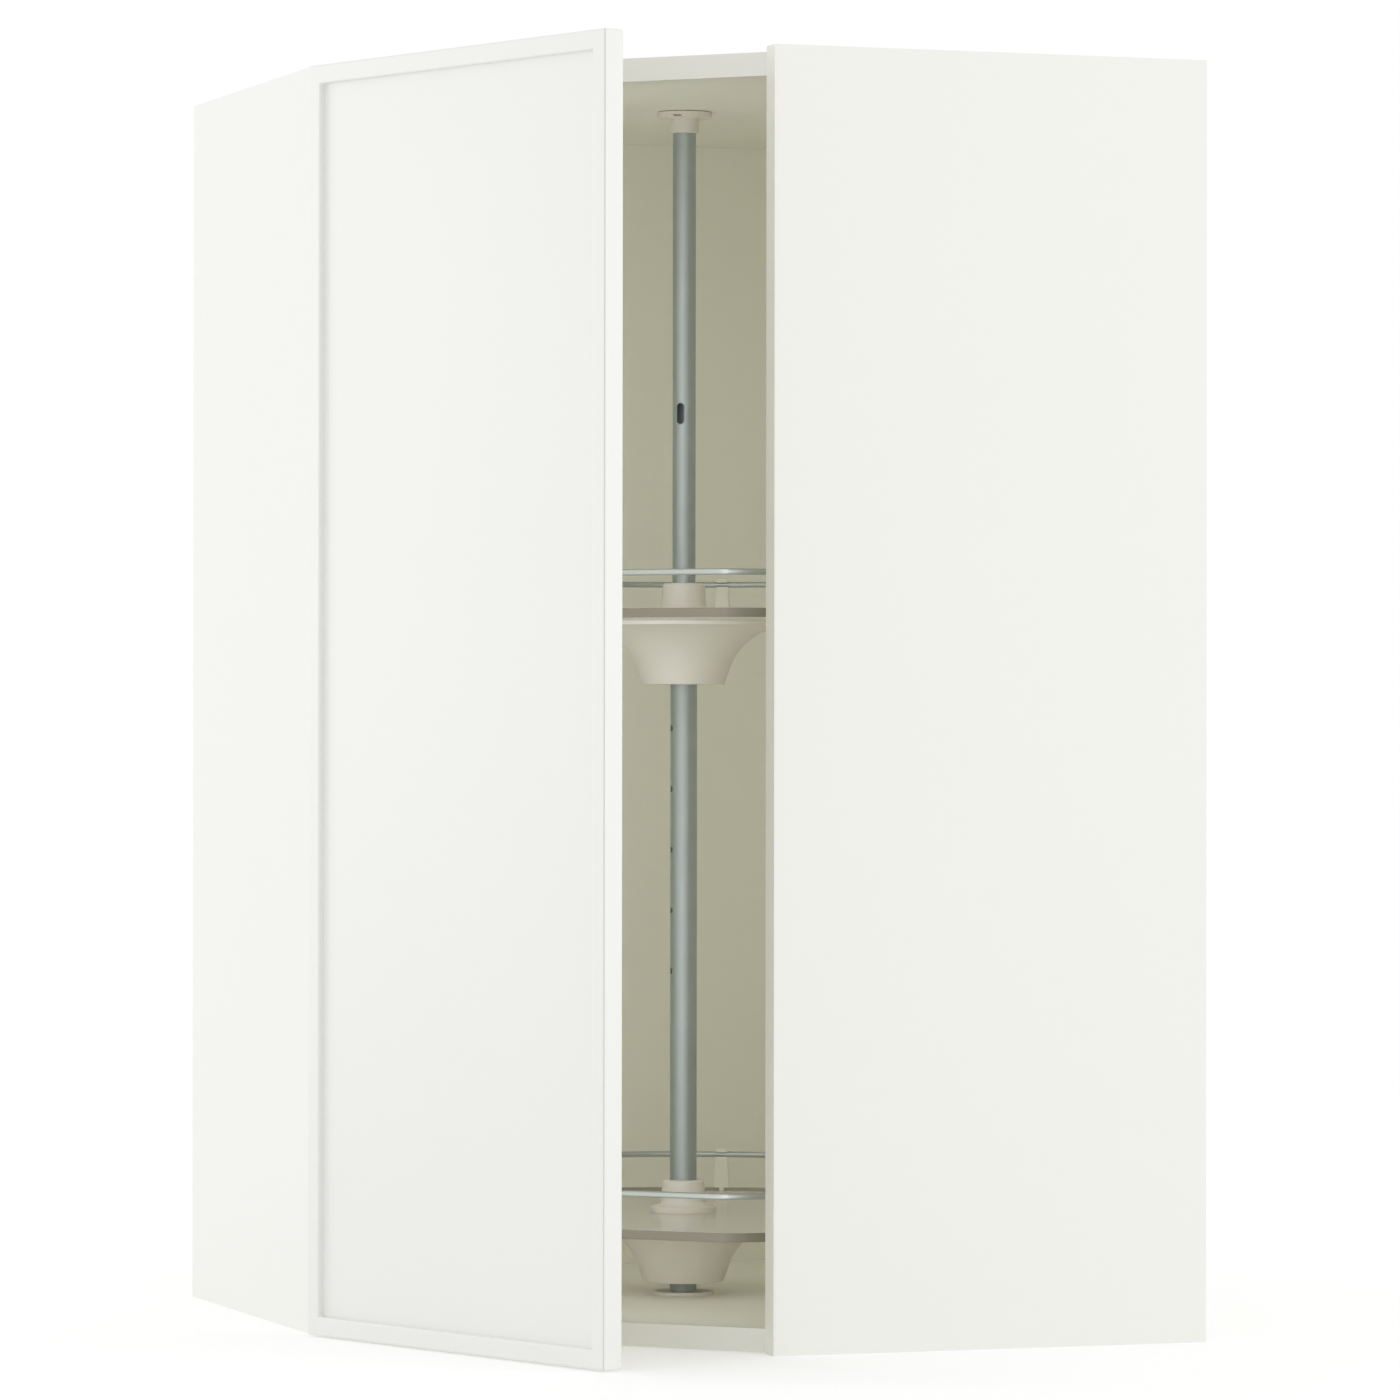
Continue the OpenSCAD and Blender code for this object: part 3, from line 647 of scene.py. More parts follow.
@dataclass(frozen=True)
class Finish:
    """One finish of the cabinet, with its colours linear."""

    name: str  # name of the material
    coat: Coat
    colour: Colour  # main colour
    fade: Colour  # colour of its slow variation
    roughness: float = 0.42
    grain: float = 1400.0  # scale of its fine grain, in bumps a metre
    bump: float = 0.000012  # height of the grain
    dust: float = 0.0  # how much dust lies on faces that look up

    def build(self, effects: SurfaceEffects) -> bpy.types.Material:
        """Makes the material.

        Args:
            effects: The shared node groups.

        Returns:
            The new material.
        """
        material = bpy.data.materials.new(self.name)
        material.use_nodes = True
        tree = material.node_tree
        shader = tree.nodes["Principled BSDF"].inputs
        shader["Metallic"].default_value = float(self.coat is Coat.METAL)
        shader["Roughness"].default_value = self.roughness
        if self.coat is Coat.CLEAR:
            shader["Transmission Weight"].default_value = CLEAR_SHARE
            shader["IOR"].default_value = CLEAR_IOR
        group = add_node(tree, "Group")
        group.node_tree, scale, fade = effects.of(self.coat)
        group.inputs[scale].default_value = self.grain
        mix = add_node(tree, "Mix", {"A": (*self.colour, 1), "B": (*self.fade, 1)}, data_type="RGBA")
        wire(tree, (group.outputs[fade], mix.inputs["Factor"]))
        colour = mix.outputs["Result"]
        if self.dust:
            settled = add_node(tree, "Group", node_tree=effects.dust)
            settled.inputs["Amount"].default_value = self.dust
            over = add_node(tree, "Mix", {"B": (*DUST_COLOUR, 1)}, data_type="RGBA")
            wire(tree, (settled.outputs["Mask"], over.inputs["Factor"]), (colour, over.inputs["A"]))
            colour = over.outputs["Result"]
        bump = add_node(tree, "Bump", {"Strength": 1.0, "Distance": self.bump})
        wire(tree, (colour, shader["Base Color"]), (group.outputs["Height"], bump.inputs["Height"]),
             (bump.outputs["Normal"], shader["Normal"]))
        return material


CLEAR_SHARE = 0.86  # how much of the light passes through the clear plastic, the rest clouds it
CLEAR_IOR = 1.5
DUST_COLOUR = (0.52, 0.50, 0.46)
FINISHES = {
    "white_board": Finish("white_melamine", Coat.BOARD, (0.875, 0.883, 0.838), (0.88, 0.888, 0.843)),
    "beige_board": Finish(
        "cabinet_melamine", Coat.BOARD, (0.86, 0.854, 0.79), (0.865, 0.859, 0.795), dust=0.02),
    "beige_sheet": Finish("back_sheet", Coat.BOARD, (0.86, 0.854, 0.79), (0.865, 0.859, 0.795), 0.5),
    # painted shade: the deck bands get a darker copy of the white board, standing in for the shade that the
    # open door casts on the decks' front edges
    "deck_band_painted_shade": Finish("deck_band_painted_shade", Coat.BOARD, (0.84, 0.835, 0.785), (0.85, 0.845, 0.795)),
    # painted light: the side panels' front bands get a lighter copy of the white board, standing in for light
    # on the right panel's front edge, which lies in the door's shade
    "side_band_painted_light": Finish("side_band_painted_light", Coat.BOARD, (0.92, 0.92, 0.87), (0.925, 0.925, 0.875)),
    "door_lacquer": Finish(
        "door_lacquer", Coat.BOARD, (0.86, 0.865, 0.835), (0.87, 0.875, 0.845), 0.34, 500, 0.00001),
    # painted shade: a darker copy of the door lacquer on the front arris of the free edge draws a dark line of
    # shade along it
    "door_arris_painted_shade": Finish(
        "door_arris_painted_shade", Coat.BOARD, (0.68, 0.685, 0.66), (0.70, 0.705, 0.68), 0.34, 500, 0.00001),
    "pine": Finish("bare_softwood", Coat.WOOD, (0.55, 0.38, 0.20), (0.68, 0.50, 0.28), 0.6, 60, 0.00004),
    "zinc": Finish("bright_zinc", Coat.METAL, (0.62, 0.63, 0.62), (0.70, 0.70, 0.68), 0.3, 1400, 0.000006),
    "hinge_nickel": Finish(
        "satin_nickel", Coat.METAL, (0.60, 0.59, 0.56), (0.68, 0.67, 0.63), 0.26, 1600, 0.000005),
    "tube_steel": Finish(
        "satin_tube", Coat.METAL, (0.465, 0.515, 0.53), (0.50, 0.55, 0.565), 0.56, 2600, 0.000006),
    "rail_chrome": Finish(
        "rail_chrome", Coat.METAL, (0.50, 0.54, 0.545), (0.54, 0.58, 0.585), 0.34, 2400, 0.000003),
    "cream_plastic": Finish(
        "cream_moulding", Coat.PLASTIC, (0.745, 0.72, 0.675), (0.765, 0.74, 0.695), 0.42, 1800, 0.000015, 0.02),
    "post_moulding": Finish(
        "post_moulding", Coat.PLASTIC, (0.86, 0.85, 0.79), (0.87, 0.86, 0.80), grain=1800),
    "clear_plastic": Finish(
        "clear_moulding", Coat.CLEAR, (0.98, 0.975, 0.945), (0.985, 0.98, 0.95), 0.2, 300, 0.000006),
    # painted shade: the clear tray's outer edge is drawn in an opaque dark colour, standing in for the dark
    # look of clear plastic seen edge-on
    "tray_edge_painted_shade": Finish(
        "tray_edge_painted_shade", Coat.PLASTIC, (0.215, 0.20, 0.16), (0.235, 0.22, 0.175), 0.3, 900, 0.00001),
    "grey_plastic": Finish(
        "grey_moulding", Coat.PLASTIC, (0.07, 0.07, 0.07), (0.09, 0.09, 0.09), 0.5, 1500, 0.00002),
    "white_nylon": Finish(
        "natural_nylon", Coat.PLASTIC, (0.80, 0.80, 0.77), (0.83, 0.83, 0.80), 0.4, 1200, 0.00001),
}


@dataclass
class Dresser:
    """Keeps the materials and gives them to pieces."""

    effects: SurfaceEffects
    materials: dict[str, bpy.types.Material] = field(default_factory=dict)

    def material(self, finish: str) -> bpy.types.Material:
        """The material of a finish, made when it is first asked for.

        Args:
            finish: Name of the finish.

        Returns:
            The material.
        """
        if finish not in self.materials:
            self.materials[finish] = FINISHES[finish].build(self.effects)
        return self.materials[finish]

    def line(self, piece: Piece, finish: str, test: Callable[[Face], bool]) -> None:
        """Gives some faces of a dressed piece another finish.

        Args:
            piece: The piece.
            finish: Name of the other finish.
            test: Says which faces get it.
        """
        piece.data.materials.append(self.material(finish))
        for face in piece.data.polygons:
            if test(face):
                face.material_index = len(piece.data.materials) - 1

    def dress_nodes(self) -> None:
        """Gives every solid of the frame the finish of its slot in the record."""
        for part in frame["record"]["subparts"]:
            for place in frame["nodes"][part["node"]].material_slots:
                place.material = self.material(part["material_slot"])
            LOG.info("%s is dressed in %s", part["node"], part["material_slot"])

    def add(self, piece: Piece, slot: str, body: str, stands_for: str, finish: str = "") -> None:
        """Finishes a new piece and hangs it on its body.

        Args:
            piece: The new piece.
            slot: The record's slot that its finish comes from.
            body: The body that it moves with.
            stands_for: The node that it replaces.
            finish: Name of its finish, where that isn't the slot's own.
        """
        piece.data.materials.clear()
        piece.data.materials.append(self.material(finish or slot))
        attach(piece, body)
        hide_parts(stands_for)
        LOG.info("%s rides on %s", piece.name, body)


@dataclass(frozen=True)
class Assembly:
    """A sub-assembly."""

    dresser: Dresser  # gives its pieces their finish


# --- Studio ---


@dataclass(frozen=True)
class FarLamp:
    """A soft square lamp outside, which looks at the middle of the cabinet."""

    name: str
    plan: float  # its direction from the pole, in degrees from +x
    height: float
    level: float  # the light that it gives there, where the world gives 1


FAR_LAMPS = (FarLamp("left_softbox", 228.0, 0.9, 0.125), FarLamp("right_softbox", 45.0, 0.5, 0.155))
WHITE = (1.0, 1.0, 1.0, 1.0)


@dataclass(frozen=True)
class Studio:
    """Camera, floor, world and lamps."""

    camera_at: Point = (5.06652, -1.78763, 0.48999)
    camera_plan: float = 160.42311  # direction of its view in plan, in degrees from +x
    camera_pitch: float = 0.1879  # how far it looks up, in degrees
    camera_roll: float = -0.06566  # how far it leans, in degrees
    lens_mm: float = 167.702  # on a sensor 36 mm wide
    sensor_mm: float = 36.0
    sight: float = 200.0  # how far the camera sees
    world_level: float = 0.90
    floor_side: float = 60.0
    floor_tone: float = 0.80
    floor_glow: float = 0.18  # light that the floor gives by itself
    floor_seen: float = 0.105  # more of it, for what is seen and not lit by it
    lamps_away: float = 6.0  # distance of the outer lamps from the pole, in plan
    lamp_side: float = 2.4
    aim: Point = (0.0, 0.0, 0.5)  # the middle of the cabinet
    inner_n: float = 0.246  # distance of the inner lamp from the pole, towards the door
    inner_z: float = 0.49
    inner_size: Pair = (0.36, 0.87)  # its width and height
    inner_level: float = 0.53  # how bright it is, where the world is 1

    def build(self) -> None:
        """Makes the whole studio."""
        self._camera()
        self._world()
        self._floor()
        for lamp in FAR_LAMPS:
            plan, aim = math.radians(lamp.plan), Vector(self.aim)
            at = Vector((self.lamps_away * math.cos(plan), self.lamps_away * math.sin(plan), lamp.height))
            watts = lamp.level * math.pi ** 2 * (aim - at).length_squared
            self._lamp(lamp.name, at, aim, (self.lamp_side, self.lamp_side), watts)
        # A lamp just behind the front, as if more daylight came in there
        at = Vector((self.inner_n * HALF, -self.inner_n * HALF, self.inner_z))
        watts = self.inner_level * math.pi * self.inner_size[0] * self.inner_size[1]
        self._lamp("inner_softbox", at, Vector((0, 0, self.inner_z)), self.inner_size, watts)

    def _camera(self) -> None:
        """Places the camera where the photograph was taken."""
        deselect_all()
        bpy.ops.object.camera_add(location=self.camera_at)
        camera = bpy.context.object
        plan, pitch = math.radians(self.camera_plan), math.radians(self.camera_pitch)
        ahead = Vector((math.cos(pitch) * math.cos(plan), math.cos(pitch) * math.sin(plan), math.sin(pitch)))
        lean = Matrix.Rotation(math.radians(-self.camera_roll), 3, "Z")
        camera.rotation_euler = (ahead.to_track_quat("-Z", "Y").to_matrix() @ lean).to_euler()
        camera.data.lens, camera.data.sensor_width = self.lens_mm, self.sensor_mm
        camera.data.clip_end = self.sight
        bpy.context.scene.camera = camera

    def _seen_rays(self, tree: Tree) -> bpy.types.NodeSocket:
        """Adds nodes that tell rays of the camera, of gloss and of glass from rays that carry light.

        Args:
            tree: The nodes of the world or of a material.

        Returns:
            A socket that gives 1 for what is seen and 0 for light.
        """
        path = add_node(tree, "LightPath").outputs
        either, any_seen = (add_node(tree, "Math", operation="MAXIMUM") for _ in range(2))
        wire(tree, (path["Is Camera Ray"], either.inputs[0]), (path["Is Glossy Ray"], either.inputs[1]),
             (either.outputs[0], any_seen.inputs[0]), (path["Is Transmission Ray"], any_seen.inputs[1]))
        return any_seen.outputs[0]

    def _world(self) -> None:
        """Lights the object from all round and shows a white background."""
        world = bpy.data.worlds.new("studio")
        world.use_nodes = True
        bpy.context.scene.world = world
        tree = world.node_tree
        light = tree.nodes["Background"]
        light.inputs["Color"].default_value = WHITE
        light.inputs["Strength"].default_value = self.world_level
        seen, mix = add_node(tree, "Background", {"Color": WHITE}), add_node(tree, "MixShader")
        wire(tree, (self._seen_rays(tree), mix.inputs[0]), (light.outputs[0], mix.inputs[1]),
             (seen.outputs[0], mix.inputs[2]),
             (mix.outputs[0], tree.nodes["World Output"].inputs["Surface"]))

    def _floor(self) -> None:
        """Lays a pale floor under the cabinet's lowest edge."""
        low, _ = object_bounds()
        deselect_all()
        bpy.ops.mesh.primitive_plane_add(size=self.floor_side, location=(0, 0, low.z))
        floor = settle(bpy.context.object)
        floor.name = "floor"
        material = bpy.data.materials.new("pale_floor")
        material.use_nodes = True
        tree = material.node_tree
        shader = tree.nodes["Principled BSDF"]
        shader.inputs["Base Color"].default_value = (*[self.floor_tone] * 3, 1)
        shader.inputs["Roughness"].default_value = 0.9
        shader.inputs["Specular IOR Level"].default_value = 0.0
        strength = add_node(tree, "Math", operation="MULTIPLY_ADD")
        strength.inputs[1].default_value = self.floor_seen
        strength.inputs[2].default_value = self.floor_glow
        glow, add = add_node(tree, "Emission"), add_node(tree, "AddShader")
        wire(tree, (self._seen_rays(tree), strength.inputs[0]),
             (strength.outputs[0], glow.inputs["Strength"]), (shader.outputs[0], add.inputs[0]),
             (glow.outputs[0], add.inputs[1]),
             (add.outputs[0], tree.nodes["Material Output"].inputs["Surface"]))
        floor.data.materials.append(material)
        floor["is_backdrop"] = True

    def _lamp(self, name: str, at: Vector, towards: Vector, size: Pair, watts: float) -> None:
        """Adds a soft rectangular lamp.

        Args:
            name: The lamp's name.
            at: Its place.
            towards: The point that it looks at.
            size: Its width and height.
            watts: Its power.
        """
        deselect_all()
        bpy.ops.object.light_add(type="AREA", location=at)
        lamp = named(bpy.context.object, name)
        lamp.data.shape = "RECTANGLE"
        lamp.data.size, lamp.data.size_y = size
        lamp.data.energy = watts
        lamp.rotation_euler = (towards - at).to_track_quat("-Z", "Y").to_euler()


# --- Sub-assemblies ---


@dataclass(frozen=True)
class Boards(Assembly):
    """The four boards, each with a band glued on its front edge."""

    wall: float = 0.323  # distance of each wall from the pole
    side_in: float = 0.3112  # distance of each side panel's inner face from the pole
    side_t: float = 0.019  # thickness of the side panels
    front: float = 0.0423  # where the side panels end in front
    side_z: Pair = (-0.0013, 1.0147)  # their lowest and highest point
    deck_t: float = 0.0185  # thickness of the bottom and top panels
    deck_top: float = 1.0103  # height of the top panel's upper face
    ceiling: float = 0.9918  # height of its lower face
    band_t: float = 0.001  # thickness of the edge bands
    arris: float = 0.0004  # width of the broken arrises
    groove: Pair = (-0.3032, -0.2998)  # where the groove for a back panel starts and ends
    groove_in: float = 0.007  # depth of the grooves
    cam_at: tuple[float, ...] = (0.060, 0.290)  # distances of the cam locks from the wall
    cam_reach: float = 0.034  # distance of a cam's centre from the panel's end
    cam_hole: Pair = (0.0077, 0.0127)  # radius and depth of a cam's hole
    bolt_run: float = 0.0037  # radius of the bore from the panel's end to the cam
    bolt_hole: Pair = (0.0025, 0.011)  # radius and depth of a cam bolt's hole
    dowel_at: tuple[float, ...] = (0.105, 0.245)  # distances of the dowels from the wall
    dowel_r: float = 0.00402
    dowel_in: Pair = (0.010, 0.0202)  # depth of a dowel's hole in a side and in a deck
    hinge_z: tuple[float, ...] = (0.1003, 0.5067, 0.9131)  # heights of the hinges
    hinge_x: float = -0.0377  # place of the hinge plates' screws
    hinge_hole: Pair = (0.0025, 0.012)  # radius and depth of their holes
    peg_hole: Pair = (0.0052, 0.010)  # radius of the pole's hole, height of its end

    def build(self) -> None:
        """Makes and dresses all four boards."""
        self._sides()
        self._decks()

    def _banded(self, core: Piece, at: Point, outward: Point, name: str) -> Piece:
        """Parts the band from a board and breaks the arrises of both.

        Args:
            core: The board.
            at: A point of the seam.
            outward: Direction of the front edge.
            name: Name of the band.

        Returns:
            The band.
        """
        band = split(core, at, outward, name)
        bevel_edges(core, self.arris * 0.5, 2)
        bevel_edges(band, self.arris * 0.8, 3)
        return band

    def _sides(self) -> None:
        """Makes both side panels from one blank."""
        inner, (low, high) = -self.side_in, self.side_z
        left = box_piece("left_side_core", (-self.wall, inner - self.side_t, low), (self.front, inner, high))
        band = self._banded(left, (self.front - self.band_t, 0, 0), (1, 0, 0), "left_side_band")
        notch(left, (self.groove[0], inner - self.groove_in, self.deck_t - self.groove_in),
              (self.groove[1], inner + PAST, self.deck_top - self.deck_t + self.groove_in))
        for z in (self.deck_t / 2, self.deck_top - self.deck_t / 2):
            for a in self.cam_at:
                self._side_hole(left, a - self.wall, z, *self.bolt_hole)
            for a in self.dowel_at:
                self._side_hole(left, a - self.wall, z, self.dowel_r, self.dowel_in[0])
        right = moved(copy_of(left, "right_side_core"), MIRROR)
        right_band = moved(copy_of(band, "right_side_band"), MIRROR)
        for z in self.hinge_z:
            for rise in (-Hinge.screw_rise, Hinge.screw_rise):
                self._side_hole(left, self.hinge_x, z + rise, *self.hinge_hole)
        for core, core_band, side in ((left, band, "left"), (right, right_band, "right")):
            self.dresser.add(core, "white_board", "carcass", f"{side}_side_panel")
            # the bands get painted light: a lighter copy of the white board
            self.dresser.add(core_band, "white_board", "carcass", f"{side}_side_panel", "side_band_painted_light")
        self.dresser.line(left, "beige_board", lambda face: face.normal.y > FACING)
        self.dresser.line(right, "beige_board", lambda face: face.normal.x < -FACING)

    def _side_hole(self, piece: Piece, x: float, z: float, radius: float, depth: float) -> None:
        """Bores a hole into the left panel's inner face."""
        bore(piece, (x, PAST - self.side_in, z), (x, -self.side_in - depth, z), radius, COARSE)

    def _decks(self) -> None:
        """Makes the bottom panel, and the top panel as its mirror image."""
        inner, outward, back = -self.side_in, (HALF, -HALF, 0), self.band_t * HALF
        core = box_piece("bottom_core", (-self.wall, inner, 0), (self.side_in, self.wall, self.deck_t))
        trim(core, (self.front, inner, 0), outward)
        band = self._banded(core, (self.front - back, inner + back, 0), outward, "bottom_band")
        for matrix in (Matrix.Identity(4), MIRROR):
            self._deck_cuts(core, matrix)
        radius, end = self.peg_hole
        bore(core, (0, 0, end), (0, 0, self.deck_t + PAST), radius)
        flip = Matrix.Translation((0, 0, self.deck_top)) @ Matrix.Scale(-1, 4, (0, 0, 1))
        top, top_band = moved(copy_of(core, "top_core"), flip), moved(copy_of(band, "top_band"), flip)
        for board, board_band, level in ((core, band, "bottom"), (top, top_band, "top")):
            self.dresser.add(board, "beige_board", "carcass", f"{level}_panel")
            # the bands get painted shade: a darker copy of the white board
            self.dresser.add(board_band, "white_board", "carcass", f"{level}_panel", "deck_band_painted_shade")

    def _deck_cuts(self, core: Piece, matrix: Matrix) -> None:
        """Cuts the fittings' holes and the groove at one end of the bottom panel.

        Args:
            core: The panel.
            matrix: Takes the left end to the end that is cut.
        """
        inner, mid = -self.side_in, self.deck_t / 2
        radius, top = self.cam_hole
        cam_y = inner + self.cam_reach
        tools = []
        for x in (a - self.wall for a in self.cam_at):
            tools += [round_bar("bit", radius, (x, cam_y, -PAST), (x, cam_y, top)),
                      round_bar("bit", self.bolt_run, (x, inner - PAST, mid), (x, cam_y, mid), COARSE)]
        for x in (a - self.wall for a in self.dowel_at):
            end = inner + self.dowel_in[1]
            tools.append(round_bar("bit", self.dowel_r, (x, inner - PAST, mid), (x, end, mid), COARSE))
        tools.append(box_piece("blade", (self.groove[0], inner - PAST, self.deck_t - self.groove_in),
                               (self.groove[1], -self.groove[0], self.deck_t + PAST)))
        cut_away(core, *(moved(tool, matrix) for tool in tools))


@dataclass(frozen=True)
class Door(Assembly):
    """The door: one slab with a narrow raised frame round a recessed field."""

    pin: Pair = (0.069602, -0.320611)  # place of the hinges' cup pins, in plan
    turn: float = 20.0  # direction of the door's width, in degrees
    pin_x: float = 0.0205  # distance from the door's hinge edge to the pins
    pin_y: float = 0.0105  # distance from its front face to the pins
    width: float = 0.37838
    thickness: float = 0.0182
    z: Pair = (0.0003, 1.0131)  # its lowest and highest point
    frame_w: float = 0.015  # width of its raised frame
    field_d: float = 0.0048  # depth of its field
    arris: float = 0.0014  # radius of its rounded arrises
    cup_x: float = 0.0225  # distance from its hinge edge to the cups
    cup_r: float = 0.0175  # radius of the cups' bores
    cup_depth: float = 0.01182  # depth of the cups' bores
    screw_off: Pair = (0.006, 0.024)  # a cup screw's distance from the cup, across and up
    screw_hole: Pair = (0.00177, 0.010)  # radius and depth of its hole

    def place(self) -> Matrix:
        """The matrix from the door's own frame to the cabinet's."""
        return placed(*self.pin, 0, self.turn) @ Matrix.Translation((-self.pin_x, -self.pin_y, 0))

    def _on_free_arris(self, face: Face) -> bool:
        """Whether a face belongs to the front arris of the free edge."""
        here, normal = self.place().inverted() @ face.center, self.place().to_3x3().inverted() @ face.normal
        return normal.y < -0.2 and normal.x > 0.2 and here.x > self.width - 0.003

    def build(self, hinge_z: tuple[float, ...]) -> None:
        """Makes the door.

        Args:
            hinge_z: Heights of the hinges.
        """
        slab = box_piece("door_slab", (0, 0, self.z[0]), (self.width, self.thickness, self.z[1]))
        with editing(slab):
            select(slab, Part.FACES, lambda face: face.normal.y < -FACING)
            bpy.ops.mesh.inset(thickness=self.frame_w, depth=0)
            extrude(0, self.field_d, 0)
        deep = self.field_d * 0.9
        rim = (self.frame_w * 0.5, self.width - self.frame_w * 0.5)
        bevel_edges(slab, self.arris, 4, lambda edge: not (
            deep < middle(edge).y < deep * 1.3 and rim[0] < middle(edge).x < rim[1]))
        face, (across, up), (screw_r, screw_in) = self.thickness, self.screw_off, self.screw_hole
        x = self.cup_x + across
        for z in hinge_z:
            bore(slab, (self.cup_x, face + PAST, z), (self.cup_x, face - self.cup_depth, z), self.cup_r, FINE)
            for screw_z in (z - up, z + up):
                bore(slab, (x, face + PAST, screw_z), (x, face - screw_in, screw_z), screw_r, COARSE)
        moved(slab, self.place())
        self.dresser.add(slab, "door_lacquer", "door", "door_panel")
        back = self.place().to_3x3() @ Vector((0, 1, 0))
        self.dresser.line(slab, "beige_board", lambda face: face.normal.dot(back) > FACING)
        # painted shade along the free edge's front arris
        self.dresser.line(slab, "door_arris_painted_shade", self._on_free_arris)


@dataclass(frozen=True)
class Pole(Assembly):
    """The pole's two plastic ends. Its tubes keep their shape."""

    foot_r: float = 0.0248  # radius of the foot disc
    foot_t: float = 0.0027  # thickness of the foot disc
    plug_r: float = 0.0096  # radius of the plug inside the lower tube
    plug_h: float = 0.015
    flange_r: float = 0.02275  # radius of the top cup's flange
    flange_t: float = 0.0046
    gap: float = 0.0005  # play between the flange and the top panel
    sleeve_r: float = 0.0118
    sleeve_h: float = 0.0124
    bore_r: float = 0.00952  # radius inside the sleeve
    peg_r: float = 0.005  # radius of the pegs in the panels
    peg_h: float = 0.008
    slit_turn: float = -34.0  # direction of the slit in the flange
    slit_half: float = 0.0033  # half its width
    slit_z: Pair = (0.0044, 0.0031)  # how far under the flange's top it starts and ends

    def build(self, boards: Boards) -> None:
        """Makes the foot and the top cup.

        Args:
            boards: The boards that the pole stands between.
        """
        z = boards.deck_t
        up = z + self.foot_t
        foot = turned("pole_foot_disc", [
            (0, z - self.peg_h, 0), (self.peg_r, z - self.peg_h, 0.001), (self.peg_r, z, 0),
            (self.foot_r, z, 0.0003), (self.foot_r, up, 0.0004), (self.plug_r, up, 0),
            (self.plug_r, up + self.plug_h, 0.001), (0, up + self.plug_h, 0)])
        self.dresser.add(smooth(foot), "cream_plastic", "carcass", "pole_foot")
        top = boards.ceiling - self.gap
        under = top - self.flange_t
        low = under - self.sleeve_h
        cup = turned("pole_cup", [
            (0, top + self.peg_h, 0), (self.peg_r, top + self.peg_h, 0.001), (self.peg_r, top, 0),
            (self.flange_r, top, 0.0003), (self.flange_r, under, 0.0005), (self.sleeve_r, under, 0.0006),
            (self.sleeve_r, low, 0.0008), (self.bore_r, low, 0.0003), (self.bore_r, under, 0),
            (0, under, 0)])
        slit = box_piece("blade", (self.flange_r - 0.003, -self.slit_half, top - self.slit_z[0]),
                         (self.flange_r + PAST, self.slit_half, top - self.slit_z[1]))
        cut_away(cup, moved(slit, placed(0, 0, 0, self.slit_turn)))
        self.dresser.add(smooth(cup), "cream_plastic", "carcass", "pole_top_cup")


